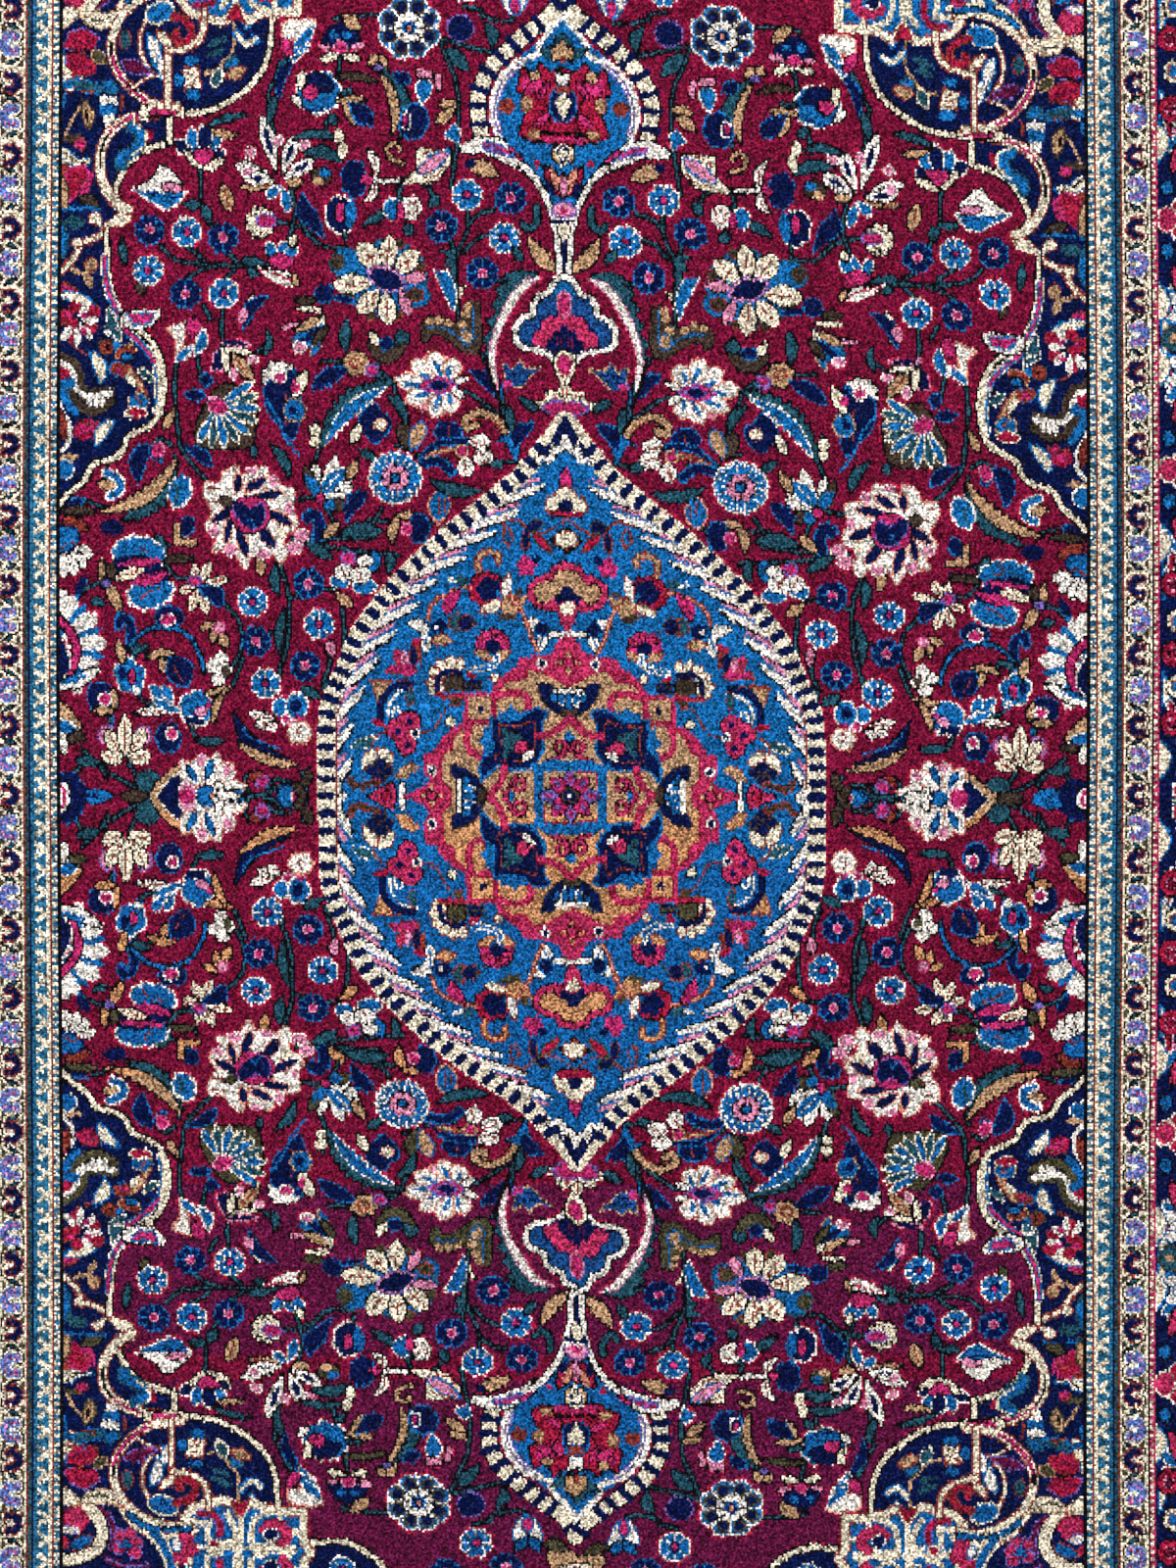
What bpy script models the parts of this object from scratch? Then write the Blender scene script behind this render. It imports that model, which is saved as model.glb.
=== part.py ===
"""A hand-knotted Persian rug, lying flat on the floor.

Metres, +Z up. The origin is on the floor under the middle of the rug, +Y runs along
the warps towards one fringed end, and +X runs along the knot rows.

The woven cloth is one solid: the knotted pile, with a thin flat-woven kilim strip at
each end. Beside it lie the two overcast side cords, and past the kilim strips lie the
two warp fringes, whose strands grow out of a narrow knotted strip.
"""

import math
import random

import bmesh
import bpy

# Driving sizes of the woven cloth
FIELD_WIDTH = 0.882
FIELD_LENGTH = 1.540
BORDER_WIDTH = 0.212
PILE_HEIGHT = 0.008  # from the floor to the pile's tips
PILE_ROUNDING = 0.0015  # worn rounding along the pile's rim
KILIM_LENGTH = 0.018
KILIM_HEIGHT = 0.0028
NEIGHBOUR_GAP = 0.0003

# How far the hand-woven edges stray from straight
SIDE_WAVE = 0.0025
SIDE_WAVES_ALONG = 1.5
SIDE_WAVE_START = 0.7
END_WAVE = 0.0020
END_WAVES_ACROSS = 1.0
END_WAVE_START = 1.9

# The overcast side cord
CORD_WIDTH = 0.0075
CORD_HEIGHT = 0.0072
CORD_SIDES = 10

# The fringe
STRANDS_PER_END = 100
STRIP_WIDTH = 0.0050
STRIP_HEIGHT = 0.0034
STRIP_CREST_SHARE = 0.7  # of the strip's width, where its rounded outer edge begins
STRAND_ROOT_SHARE = 0.46  # of a strand's pitch along the strip
STRAND_ROOT_HEIGHT = 0.0026
STRAND_TIP_WIDTH = 0.0024
STRAND_TIP_HEIGHT = 0.0016
STRAND_LENGTH = 0.055
STRAND_LENGTH_SPREAD = 0.008
STRAND_LEAN = 0.0042  # sideways, at the tip
STRAND_STEPS = 3
STRAND_TOP_SHARE = 0.6  # of a strand's width, left flat on its upper side
FRINGES = {"fringe_near": (-1, 11), "fringe_far": (1, 23)}  # end, and seed of the strands' lie

HALF_WIDTH = FIELD_WIDTH / 2 + BORDER_WIDTH
HALF_PILE_LENGTH = FIELD_LENGTH / 2 + BORDER_WIDTH
HALF_CLOTH_LENGTH = HALF_PILE_LENGTH + KILIM_LENGTH
COLUMNS = 16  # across the pile, inside its rounded rim
ROWS = 24  # along the pile, inside its rounded rim


def clear_scene():
    for thing in list(bpy.data.objects):
        bpy.data.objects.remove(thing)


def yarn(name, colour, roughness):
    material = bpy.data.materials.new(name)
    material.use_nodes = True
    shader = material.node_tree.nodes["Principled BSDF"]
    shader.inputs["Base Color"].default_value = (*colour, 1.0)
    shader.inputs["Roughness"].default_value = roughness
    shader.inputs["Metallic"].default_value = 0.0
    material.diffuse_color = (*colour, 1.0)
    return material


def side_stray(y):
    """How far both long edges stray outwards at y."""
    turn = 2 * math.pi * SIDE_WAVES_ALONG * y / (2 * HALF_PILE_LENGTH)
    return SIDE_WAVE * math.sin(turn + SIDE_WAVE_START)


def end_stray(x):
    """How far both short edges stray outwards at x."""
    turn = 2 * math.pi * END_WAVES_ACROSS * x / (2 * HALF_WIDTH)
    return END_WAVE * math.sin(turn + END_WAVE_START)


def as_it_lies(x, y):
    """The place on the floor of a point of the true rectangle that the loom set out."""
    return (
        x * (1 + side_stray(y) / HALF_WIDTH),
        y * (1 + end_stray(x) / HALF_PILE_LENGTH),
    )


def spaced(low, high, steps):
    return [low + (high - low) * i / steps for i in range(steps + 1)]


def finished(name, mesh, material):
    """Turns a bmesh into a named object with outward faces and its own material."""
    bmesh.ops.recalc_face_normals(mesh, faces=mesh.faces)
    data = bpy.data.meshes.new(name)
    mesh.to_mesh(data)
    mesh.free()
    data.materials.append(material)
    thing = bpy.data.objects.new(name, data)
    bpy.context.scene.collection.objects.link(thing)
    return thing


def woven_cloth():
    """The pile slab with its rounded rim, and the kilim strip at each end, in one solid."""
    inner_x = HALF_WIDTH - PILE_ROUNDING
    inner_y = HALF_PILE_LENGTH - PILE_ROUNDING
    across = [-HALF_WIDTH, *spaced(-inner_x, inner_x, COLUMNS), HALF_WIDTH]
    along = [-HALF_PILE_LENGTH, *spaced(-inner_y, inner_y, ROWS), HALF_PILE_LENGTH]
    mesh = bmesh.new()

    def level(row_y, height_of):
        points = []
        for i, x in enumerate(across):
            flat_x, flat_y = as_it_lies(x, row_y)
            points.append(mesh.verts.new((flat_x, flat_y, height_of(i))))
        return points

    def pile_top(row):
        rim_row = row in (0, len(along) - 1)

        def height(column):
            rim = rim_row or column in (0, len(across) - 1)
            return PILE_HEIGHT - (PILE_ROUNDING if rim else 0)

        return height

    kilim_ends = (-HALF_CLOTH_LENGTH, HALF_CLOTH_LENGTH)
    floor = [level(y, lambda column: 0.0) for y in (kilim_ends[0], *along, kilim_ends[1])]
    top = [level(y, pile_top(row)) for row, y in enumerate(along)]
    kilim_inner = [level(y, lambda column: KILIM_HEIGHT) for y in (along[0], along[-1])]
    kilim_outer = [level(y, lambda column: KILIM_HEIGHT) for y in kilim_ends]

    def strip(first, second):
        for i in range(len(first) - 1):
            mesh.faces.new((first[i], first[i + 1], second[i + 1], second[i]))

    for rows in (floor, top):
        for first, second in zip(rows, rows[1:]):
            strip(first, second)
    rims, hems = (top[0], top[-1]), (floor[0], floor[-1])
    for inner, outer, rim, hem in zip(kilim_inner, kilim_outer, rims, hems):
        strip(inner, outer)  # the kilim's upper side
        strip(inner, rim)  # the step up to the pile
        strip(outer, hem)  # the kilim's end
    for side in (0, -1):
        for row in range(1, len(along) - 2):
            corners = (floor[row + 1], floor[row + 2], top[row + 1], top[row])
            mesh.faces.new([points[side] for points in corners])
        for inner, outer, pile, floors in (
            (kilim_inner[0], kilim_outer[0], (top[0], top[1]), floor[:3]),
            (kilim_inner[1], kilim_outer[1], (top[-1], top[-2]), floor[:-4:-1]),
        ):
            mesh.faces.new([points[side] for points in (floors[0], floors[1], inner, outer)])
            mesh.faces.new([points[side] for points in (floors[1], floors[2], pile[1], pile[0], inner)])
    return finished("woven_cloth", mesh, yarn("crimson_wool_pile", (0.25, 0.012, 0.045), 0.9))


def side_cord(name, side):
    """The overcast cord along one long edge, an oval that is flat where it meets the floor."""
    mesh = bmesh.new()
    rings = []
    for y in spaced(-HALF_PILE_LENGTH, HALF_PILE_LENGTH, 2 * ROWS):
        edge_x, flat_y = as_it_lies(side * HALF_WIDTH, y)
        middle_x = edge_x + side * (NEIGHBOUR_GAP + CORD_WIDTH / 2)
        ring = []
        for k in range(CORD_SIDES):
            turn = 2 * math.pi * (k + 0.5) / CORD_SIDES - math.pi / 2
            reach = 1 / math.cos(math.pi / CORD_SIDES)
            x = middle_x + CORD_WIDTH / 2 * math.cos(turn)
            z = CORD_HEIGHT / 2 * (1 + reach * math.sin(turn))
            ring.append(mesh.verts.new((x, flat_y, max(z, 0.0))))
        rings.append(ring)
    for first, second in zip(rings, rings[1:]):
        for k in range(CORD_SIDES):
            after = (k + 1) % CORD_SIDES
            mesh.faces.new((first[k], first[after], second[after], second[k]))
    mesh.faces.new(rings[0])
    mesh.faces.new(rings[-1])
    return finished(name, mesh, yarn(name + "_wool", (0.10, 0.008, 0.022), 0.85))


def fringe(name, end, seed):
    """One end's fringe: a narrow knotted strip, and the warp strands that grow out of it."""
    dice = random.Random(seed)
    pitch = 2 * HALF_WIDTH / STRANDS_PER_END
    root = STRAND_ROOT_SHARE * pitch
    edges = [-HALF_WIDTH]
    for n in range(STRANDS_PER_END):
        middle = -HALF_WIDTH + (n + 0.5) * pitch
        edges += [middle - root / 2, middle + root / 2]
    edges.append(HALF_WIDTH)
    mesh = bmesh.new()

    def line(reach, height):
        points = []
        for x in edges:
            flat_x, flat_y = as_it_lies(x, end * (HALF_CLOTH_LENGTH + NEIGHBOUR_GAP))
            points.append(mesh.verts.new((flat_x, flat_y + end * reach, height)))
        return points

    section = [line(0.0, 0.0), line(STRIP_WIDTH, 0.0)]
    section += [line(STRIP_WIDTH, STRAND_ROOT_HEIGHT), line(STRIP_WIDTH * STRIP_CREST_SHARE, STRIP_HEIGHT)]
    section += [line(0.0, STRIP_HEIGHT)]
    root_side = 1  # the side between the second and third lines, where the strands grow
    for k, low in enumerate(section):
        high = section[(k + 1) % len(section)]
        for i in range(len(edges) - 1):
            if k == root_side and i % 2:
                continue  # a strand's root closes this gap
            mesh.faces.new((low[i], low[i + 1], high[i + 1], high[i]))
    for i in (0, -1):
        mesh.faces.new([points[i] for points in section])

    trim = abs(end_stray(HALF_WIDTH / 2))  # keeps the middle strand the longest
    for n in range(STRANDS_PER_END):
        i = 2 * n + 1
        ring = [section[1][i], section[1][i + 1], section[2][i + 1], section[2][i]]
        root_x = (ring[0].co.x + ring[1].co.x) / 2
        root_y = ring[0].co.y
        length = STRAND_LENGTH
        if n != STRANDS_PER_END // 2:
            length -= trim + dice.uniform(0, STRAND_LENGTH_SPREAD)
        lean = dice.uniform(-STRAND_LEAN, STRAND_LEAN)
        sway = dice.uniform(-STRAND_LEAN, STRAND_LEAN) / 2
        for step in range(1, STRAND_STEPS + 1):
            share = step / STRAND_STEPS
            half = (root * (1 - share) + STRAND_TIP_WIDTH * share) / 2
            height = STRAND_ROOT_HEIGHT * (1 - share) + STRAND_TIP_HEIGHT * share
            x = root_x + lean * share**2 + sway * math.sin(math.pi * share)
            y = root_y + end * length * share
            top = half * STRAND_TOP_SHARE
            places = ((x - half, 0.0), (x + half, 0.0), (x + top, height), (x - top, height))
            after = [mesh.verts.new((px, y, pz)) for px, pz in places]
            for k in range(4):
                m = (k + 1) % 4
                mesh.faces.new((ring[k], ring[m], after[m], after[k]))
            ring = after
        mesh.faces.new(ring)
    return finished(name, mesh, yarn(name + "_cotton", (0.66, 0.58, 0.44), 0.9))


clear_scene()
woven_cloth()
side_cord("side_cord_left", -1)
side_cord("side_cord_right", 1)
for name, (end, seed) in FRINGES.items():
    fringe(name, end, seed)
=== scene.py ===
# %% [markdown]
# # A hand-knotted Persian rug
# A city workshop rug: a sky blue medallion with pendants on a crimson field, navy corners and
# a navy border between cream guards. It lies flat on the floor. The solids give its sizes, and
# this lesson gives it its drawing, its pile, its cords and its fringes.

import math
import random
import re

import bpy
import numpy as np
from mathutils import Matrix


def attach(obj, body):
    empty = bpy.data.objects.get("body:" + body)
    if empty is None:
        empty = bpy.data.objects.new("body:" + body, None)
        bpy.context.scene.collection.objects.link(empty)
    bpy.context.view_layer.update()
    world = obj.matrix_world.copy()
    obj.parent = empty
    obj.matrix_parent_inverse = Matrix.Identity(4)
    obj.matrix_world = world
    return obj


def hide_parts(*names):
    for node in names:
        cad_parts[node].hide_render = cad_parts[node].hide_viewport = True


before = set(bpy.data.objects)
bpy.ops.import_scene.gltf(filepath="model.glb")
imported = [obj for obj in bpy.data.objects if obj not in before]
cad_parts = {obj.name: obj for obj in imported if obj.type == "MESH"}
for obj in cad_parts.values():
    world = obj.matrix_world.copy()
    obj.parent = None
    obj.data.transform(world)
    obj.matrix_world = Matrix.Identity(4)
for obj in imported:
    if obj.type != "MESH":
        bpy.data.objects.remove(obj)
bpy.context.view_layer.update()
bpy.ops.object.select_all(action="DESELECT")
print("solid parts:", sorted(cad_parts))

# %% [markdown]
# The sizes below are the loom's, in metres. The edges of a hand-woven rug stray by two or
# three millimetres, because the weaver beats each row down by eye, so every point of the true
# rectangle is moved to where it lies on the floor.

# %% Sizes of the rug
FIELD_WIDTH = 0.882
FIELD_LENGTH = 1.540
BORDER_WIDTH = 0.212
PILE_HEIGHT = 0.008
PILE_ROUNDING = 0.0015
KILIM_LENGTH = 0.018
KILIM_HEIGHT = 0.0028
NEIGHBOUR_GAP = 0.0003
SIDE_WAVE = 0.0025
SIDE_WAVES_ALONG = 1.5
SIDE_WAVE_START = 0.7
END_WAVE = 0.0020
END_WAVES_ACROSS = 1.0
END_WAVE_START = 1.9
HALF_WIDTH = FIELD_WIDTH / 2 + BORDER_WIDTH
HALF_PILE_LENGTH = FIELD_LENGTH / 2 + BORDER_WIDTH
HALF_CLOTH_LENGTH = HALF_PILE_LENGTH + KILIM_LENGTH


def as_it_lies(x, y):
    """Where points of the loom's rectangle lie on the floor."""
    side_turn = 2 * math.pi * SIDE_WAVES_ALONG * y / (2 * HALF_PILE_LENGTH)
    end_turn = 2 * math.pi * END_WAVES_ACROSS * x / (2 * HALF_WIDTH)
    side_stray = SIDE_WAVE * np.sin(side_turn + SIDE_WAVE_START)
    end_stray = END_WAVE * np.sin(end_turn + END_WAVE_START)
    return x * (1 + side_stray / HALF_WIDTH), y * (1 + end_stray / HALF_PILE_LENGTH)


print(f"the cloth is {2 * HALF_WIDTH:.3f} by {2 * HALF_CLOTH_LENGTH:.3f} metres")

# %% [markdown]
# The rug was drawn before it was knotted. Weavers read a cartoon on squared paper, where
# each square is one knot, and the same quarter is woven four times, turned over each time.
# The chart below is that paper: one number per knot, which says which yarn it takes.

# %% The dye pot
YARNS = {
    "crimson": "7A0D34",
    "navy": "021246",
    "sky": "1169AC",
    "teal": "215061",
    "cream": "F3E3C8",
    "ivory": "F9EFE4",
    "tan": "BC936F",
    "black": "0B060F",
    "magenta": "BC2A68",
    "pink": "DC86A6",
    "lilac": "6D5BA8",
    "rust": "8A352C",
    "brown": "43352C",
    "scarlet": "A5173C",
    "salmon": "D98A74",
    "maroon": "64113E",
    "deep_sky": "1060A3",
    "denim": "174A88",
    "petrol": "286A8E",
    "golden": "CE9164",
    "olive": "4A4530",
    "periwinkle": "5C78C0",
    "rose": "BC2E5B",
}
YARN_NUMBER = {name: number for number, name in enumerate(YARNS)}

# %% The squared paper
COLUMNS = 816
ROWS = 1228
KNOT_X = 2 * HALF_WIDTH * 1000 / COLUMNS  # mm across one knot
KNOT_Y = 2 * HALF_PILE_LENGTH * 1000 / ROWS  # mm along one knot
FIELD_X = FIELD_WIDTH * 500  # mm from the middle to the field's edge
FIELD_Y = FIELD_LENGTH * 500
chart = np.full((ROWS, COLUMNS), YARN_NUMBER["crimson"], dtype=np.uint8)


def knots_near(points, reach):
    """The rows and columns round some points, and the middles of their knots in mm."""
    low = points.min(axis=0) - reach
    high = points.max(axis=0) + reach
    first = np.ceil([low[0] / KNOT_X + COLUMNS / 2 - 0.5, low[1] / KNOT_Y + ROWS / 2 - 0.5])
    last = np.floor([high[0] / KNOT_X + COLUMNS / 2 - 0.5, high[1] / KNOT_Y + ROWS / 2 - 0.5])
    first = np.clip(first, 0, (COLUMNS, ROWS)).astype(int)
    last = np.clip(last + 1, 0, (COLUMNS, ROWS)).astype(int)
    window = np.s_[first[1] : last[1], first[0] : last[0]]
    x = (np.arange(first[0], last[0]) + 0.5 - COLUMNS / 2) * KNOT_X
    y = (np.arange(first[1], last[1]) + 0.5 - ROWS / 2) * KNOT_Y
    return window, x[None, :, None], y[:, None, None]


def distance_to(x, y, start, end):
    """How far each knot lies from the nearest of some straight runs."""
    run = end - start
    length = np.maximum((run**2).sum(axis=1), 1e-9)
    share = ((x - start[:, 0]) * run[:, 0] + (y - start[:, 1]) * run[:, 1]) / length
    share = np.clip(share, 0, 1)
    across = x - start[:, 0] - share * run[:, 0]
    along = y - start[:, 1] - share * run[:, 1]
    return np.sqrt((across**2 + along**2).min(axis=2))


def knot_shape(points, yarn, rim=None, reach=1.7):
    """Fills a closed outline with one yarn, with a rim of another yarn round it."""
    window, x, y = knots_near(points, reach)
    part = chart[window]
    if part.size == 0:
        return
    start = points
    end = np.roll(points, -1, axis=0)
    above = start[:, 1] > y
    slope = (end[:, 0] - start[:, 0]) / np.where(end[:, 1] == start[:, 1], 1e-9, end[:, 1] - start[:, 1])
    crossing = (above != (end[:, 1] > y)) & (x < start[:, 0] + (y - start[:, 1]) * slope)
    inside = crossing.sum(axis=2) % 2 == 1
    if rim:
        part[~inside & (distance_to(x, y, start, end) < reach)] = YARN_NUMBER[rim]
    part[inside] = YARN_NUMBER[yarn]


def knot_line(points, yarn, width, rim=None, reach=1.7):
    """Knots an open line of one yarn, with a rim of another yarn along both sides."""
    window, x, y = knots_near(points, width / 2 + reach)
    part = chart[window]
    if part.size == 0:
        return
    away = distance_to(x, y, points[:-1], points[1:])
    if rim:
        part[away < width / 2 + reach] = YARN_NUMBER[rim]
    part[away < width / 2] = YARN_NUMBER[yarn]


# %% [markdown]
# A weaver keeps the drawing even by eye, so no two quarters come out alike. The middle line
# wanders a little, the right half of the far end runs lower, and the near end is packed
# tighter and tighter, until its drawing is almost six centimetres short.

# %% How the four quarters came out
MIDDLE_LINE_Y = (-770, -600, -400, -250, 0, 250, 600, 770)
MIDDLE_LINE_X = (3, 2, 3, 1, -2.5, -6.5, -9, -10)
LAG_AT = (0, 40, 150, 200, 272, 350, 450, 513, 590, 690, 830)
NEAR_LAG = {
    -1: (0, -4, -4, 0, 7, 14, 24, 29, 44, 54, 60),
    1: (0, -3, -3, 0, 3, 10, 20, 26, 40, 50, 56),
}
SLANT = {(-1, 1): 0.0, (1, 1): 0.055, (-1, -1): 0.042, (1, -1): 0.032}
QUARTERS = tuple(SLANT)


def middle_line(y):
    return np.interp(y, MIDDLE_LINE_Y, MIDDLE_LINE_X)


def as_knotted(points, side, end):
    """Where one quarter of the rug shows the points of the far left quarter's drawing."""
    x, y = np.asarray(points, float).T
    from_middle = (x - middle_line(y)) / (-FIELD_X - middle_line(y))
    slant = SLANT[side, end] * FIELD_X * from_middle
    if end > 0:
        slant = slant * np.clip(0.25 + y / 300, 0, 1)
        lag = 0
    else:
        slant = np.maximum(slant - 4, 0) * np.clip(y / 300 - 0.3, 0, 1)
        lag = np.interp(y, LAG_AT, NEAR_LAG[side])
    new_y = end * (y - slant - lag)
    line = middle_line(new_y)
    return np.column_stack((line + from_middle * (side * FIELD_X - line), new_y))


def through(points, closed=False, steps=5):
    """A smooth curve through a few points."""
    points = np.asarray(points, float)
    count = len(points)
    curve = []
    share = np.linspace(0, 1, steps, endpoint=False)[:, None]
    for i in range(count if closed else count - 1):
        around = [i - 1, i, i + 1, i + 2]
        around = [k % count if closed else min(max(k, 0), count - 1) for k in around]
        before, here, after, beyond = points[around]
        turn = 2 * before - 5 * here + 4 * after - beyond
        twist = 3 * here - before - 3 * after + beyond
        curve.append(here + (after - before) * share / 2 + turn * share**2 / 2 + twist * share**3 / 2)
    if not closed:
        curve.append(points[-1:])
    return np.vstack(curve)


# Each map takes the drawing to one of its places on the rug.
PLACES = []


def draw_on(maps):
    PLACES[:] = maps


def quarter(side, end):
    return lambda points: as_knotted(points, side, end)


def shape(points, yarn, rim=None, reach=1.7, smooth=False):
    """One filled shape of the drawing, knotted in each of its places."""
    points = through(points, closed=True, steps=4) if smooth else np.asarray(points, float)
    for edge in (rim, None) if rim else (None,):
        for place in PLACES:
            knot_shape(place(points), yarn, edge, reach)


def line(points, yarn="black", width=1.7, rim=None, reach=1.7, smooth=True):
    """One line of the drawing, knotted in each of its places."""
    points = through(points, steps=4) if smooth else np.asarray(points, float)
    for edge in (rim, None) if rim else (None,):
        for place in PLACES:
            knot_line(place(points), yarn, width, edge, reach)


draw_on([quarter(side, end) for side, end in QUARTERS])


# %% [markdown]
# A handful of small figures fill the whole field. All lengths are in millimetres, and a
# figure's turn is in degrees, anticlockwise from pointing at the far end.

# %% The weaver's small figures
def ring_of(x, y, across, along=None, turn=0, points=14, lobes=0, depth=0.0):
    """A round or oval outline, with scalloped lobes if it has any."""
    along = across if along is None else along
    angle = np.linspace(0, 2 * math.pi, max(points, lobes * 6), endpoint=False)
    reach = 1 - depth * (1 - np.abs(np.cos(angle * lobes / 2))) if lobes else 1.0
    points = np.column_stack((np.cos(angle) * reach * across, np.sin(angle) * reach * along))
    return placed(points, x, y, turn)


def placed(points, x, y, turn):
    """Points turned about the origin, then moved to a place."""
    points = np.asarray(points, float)
    across, up = math.cos(math.radians(turn)), math.sin(math.radians(turn))
    return points @ ((across, up), (-up, across)) + (x, y)


def spot(x, y, across, along=None, yarn="magenta", rim=None, turn=0, reach=1.7):
    shape(ring_of(x, y, across, along, turn), yarn, rim, reach)


def leaf_outline(start, end, width, bend=0.0, full=0.5, teeth=0, teeth_side=1):
    """A pointed leaf, fullest at a share of its length, its spine bent to the left."""
    start, end = np.asarray(start, float), np.asarray(end, float)
    share = np.linspace(0, 1, 9 if not teeth else 2 * teeth + 3)
    run = end - start
    left = np.array((-run[1], run[0])) / np.hypot(*run)
    spine = start + run * share[:, None] + left * (4 * bend * share * (1 - share))[:, None]
    half = width / 2 * np.sin(math.pi * share ** (math.log(0.5) / math.log(full))) ** 0.8
    sides = [half.copy(), half.copy()]
    if teeth:
        sides[0 if teeth_side > 0 else 1][1:-1:2] *= 1.45
        sides[0 if teeth_side > 0 else 1][2:-1:2] *= 0.75
    return np.vstack((spine + left * sides[0][:, None], (spine - left * sides[1][:, None])[::-1][1:-1]))


def leaf(x0, y0, x1, y1, width, yarn, rim="black", bend=0, vein=None, full=0.5, teeth=0, side=1, reach=1.7):
    shape(leaf_outline((x0, y0), (x1, y1), width, bend, full, teeth, side), yarn, rim, reach)
    if vein:
        start, end = np.array((x0, y0)), np.array((x1, y1))
        left = np.array((y0 - y1, x1 - x0)) / np.hypot(x1 - x0, y1 - y0)
        middle = (start + end) / 2 + left * bend
        low, high = (start * 4 + end) / 5, (start + end * 4) / 5
        line((low + left * bend / 2, middle, high + left * bend / 2), vein, 1.3)


def spoke(x, y, angle, low, high, yarn, width):
    """A straight bar that points away from the middle of a flower."""
    ends = [(x + r * math.cos(angle), y + r * math.sin(angle)) for r in (low, high)]
    line(ends, yarn, width, smooth=False)


def rosette(x, y, size, yarn):
    """A small wild rose of eight petals, with paler gaps and rim, and a round heart."""
    pale = {"navy": "sky", "sky": "ivory"}[yarn]
    shape(ring_of(x, y, size, turn=22.5, lobes=8, depth=0.16), yarn, pale, 1.25)
    for k in range(8):
        spoke(x, y, math.radians(45 + 45 * k), 0.45 * size, 0.93 * size, pale, 0.95)
    spot(x, y, size * 0.36, yarn="pink" if yarn == "navy" else "navy")
    spot(x, y, size * 0.22)


def petals_round(x, y, tips, width, yarn, rim="black", vein=None, full=0.6, inner=0.12, core=None,
                 reach=1.7):
    """Petals that all spring from one place and end at the tips given."""
    for tip_x, tip_y in tips:
        base = (x + (tip_x - x) * inner, y + (tip_y - y) * inner)
        leaf(*base, tip_x, tip_y, width, yarn, rim, vein=vein, full=full, reach=reach)
        if core:
            middle = (x + (tip_x - x) * 0.38, y + (tip_y - y) * 0.38)
            end = (x + (tip_x - x) * 0.84, y + (tip_y - y) * 0.84)
            leaf(*middle, *end, width * 0.42, core, None)


# %% [markdown]
# Weavers are often given a written list instead of squared paper: someone calls out each
# figure, and the knots follow. The drawing is written like that here. A row names a kind of
# figure, its sizes, its yarn and its outline, and then the points where it goes, in mm across
# and along the far left quarter. A row of points alone repeats the figure above it. After a
# yarn, ":", "/", "//" and "///" are outlines of growing width: "navy/sky" is navy with a thin
# sky outline.

# %% Reading the written list
OUTLINES = {"": 1.7, ":": 1.0, "/": 1.2, "//": 1.7, "///": 2.4}  # how far each reaches, in mm


def leaves(points, yarn, rim, reach, width, bend=0, vein=None, full=0.5, teeth=0):
    for (x0, y0), (x1, y1) in zip(points[::2], points[1::2]):
        side = 1 if teeth > 0 else -1
        leaf(x0, y0, x1, y1, width, yarn, rim, bend, vein, full, int(abs(teeth)), side, reach)


def spots(points, yarn, rim, reach, across, along=None, turn=0):
    for x, y in points:
        spot(x, y, across, along, yarn, rim, turn, reach)


def blooms(points, yarn, rim, reach, across, along, lobes, depth, turn=0):
    for x, y in points:
        shape(ring_of(x, y, across, along, turn, lobes=int(lobes), depth=depth), yarn, rim, reach)


def petals(points, yarn, rim, reach, width, vein=None, core=None, full=0.6, inner=0.12):
    petals_round(*points[0], points[1:], width, yarn, rim, vein, full, inner, core, reach)


def rosettes(points, yarn, rim, reach, size):
    for x, y in points:
        rosette(x, y, size, yarn)


KINDS = {
    "leaf": leaves,
    "spot": spots,
    "bloom": blooms,
    "petals": petals,
    "rosette": rosettes,
    "shape": lambda points, yarn, rim, reach: shape(points, yarn, rim, reach),
    "round": lambda points, yarn, rim, reach: shape(points, yarn, rim, reach, smooth=True),
    "line": lambda points, yarn, rim, reach, width: line(points, yarn, width, rim, reach),
    "bar": lambda points, yarn, rim, reach, width: line(points, yarn, width, rim, reach, smooth=False),
}
LEAFY = ("leaf", "petals")  # these have a black outline unless the row says otherwise


def number_or_word(text):
    return float(text) if re.fullmatch(r"-?[\d.]+", text) else text


def figures(rows):
    """Knots the figures of a written list in every quarter."""
    made = 0
    for row in rows.replace("\n ", " ").strip().splitlines():
        words = row.split()
        if words[0] == "#":
            continue
        points = np.array([word.split(",") for word in words if "," in word], float)
        if words[0] in KINDS:
            kind = words[0]
            sizes = [float(word) for word in words[1:] if isinstance(number_or_word(word), float)]
            options = dict(word.split("=") for word in words if "=" in word)
            options = {name: number_or_word(value) for name, value in options.items()}
            dyed = next(word for word in words[1:] if word[0].isalpha() and "=" not in word)
            yarn, mark, rim = re.fullmatch(r"([a-z_]+)([:/]*)([a-z_]*)", dyed).groups()
            if kind in LEAFY and not mark:
                rim = "black"
        KINDS[kind](points, yarn, rim or None, OUTLINES[mark], *sizes, **options)
        made += 1
    print(made, "rows of the list are knotted")


# %% [markdown]
# The field outside the medallion. It is drawn zone by zone from the side border inwards:
# first the stems, then the leaves on them, and last the flower heads, as they overlap.

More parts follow.
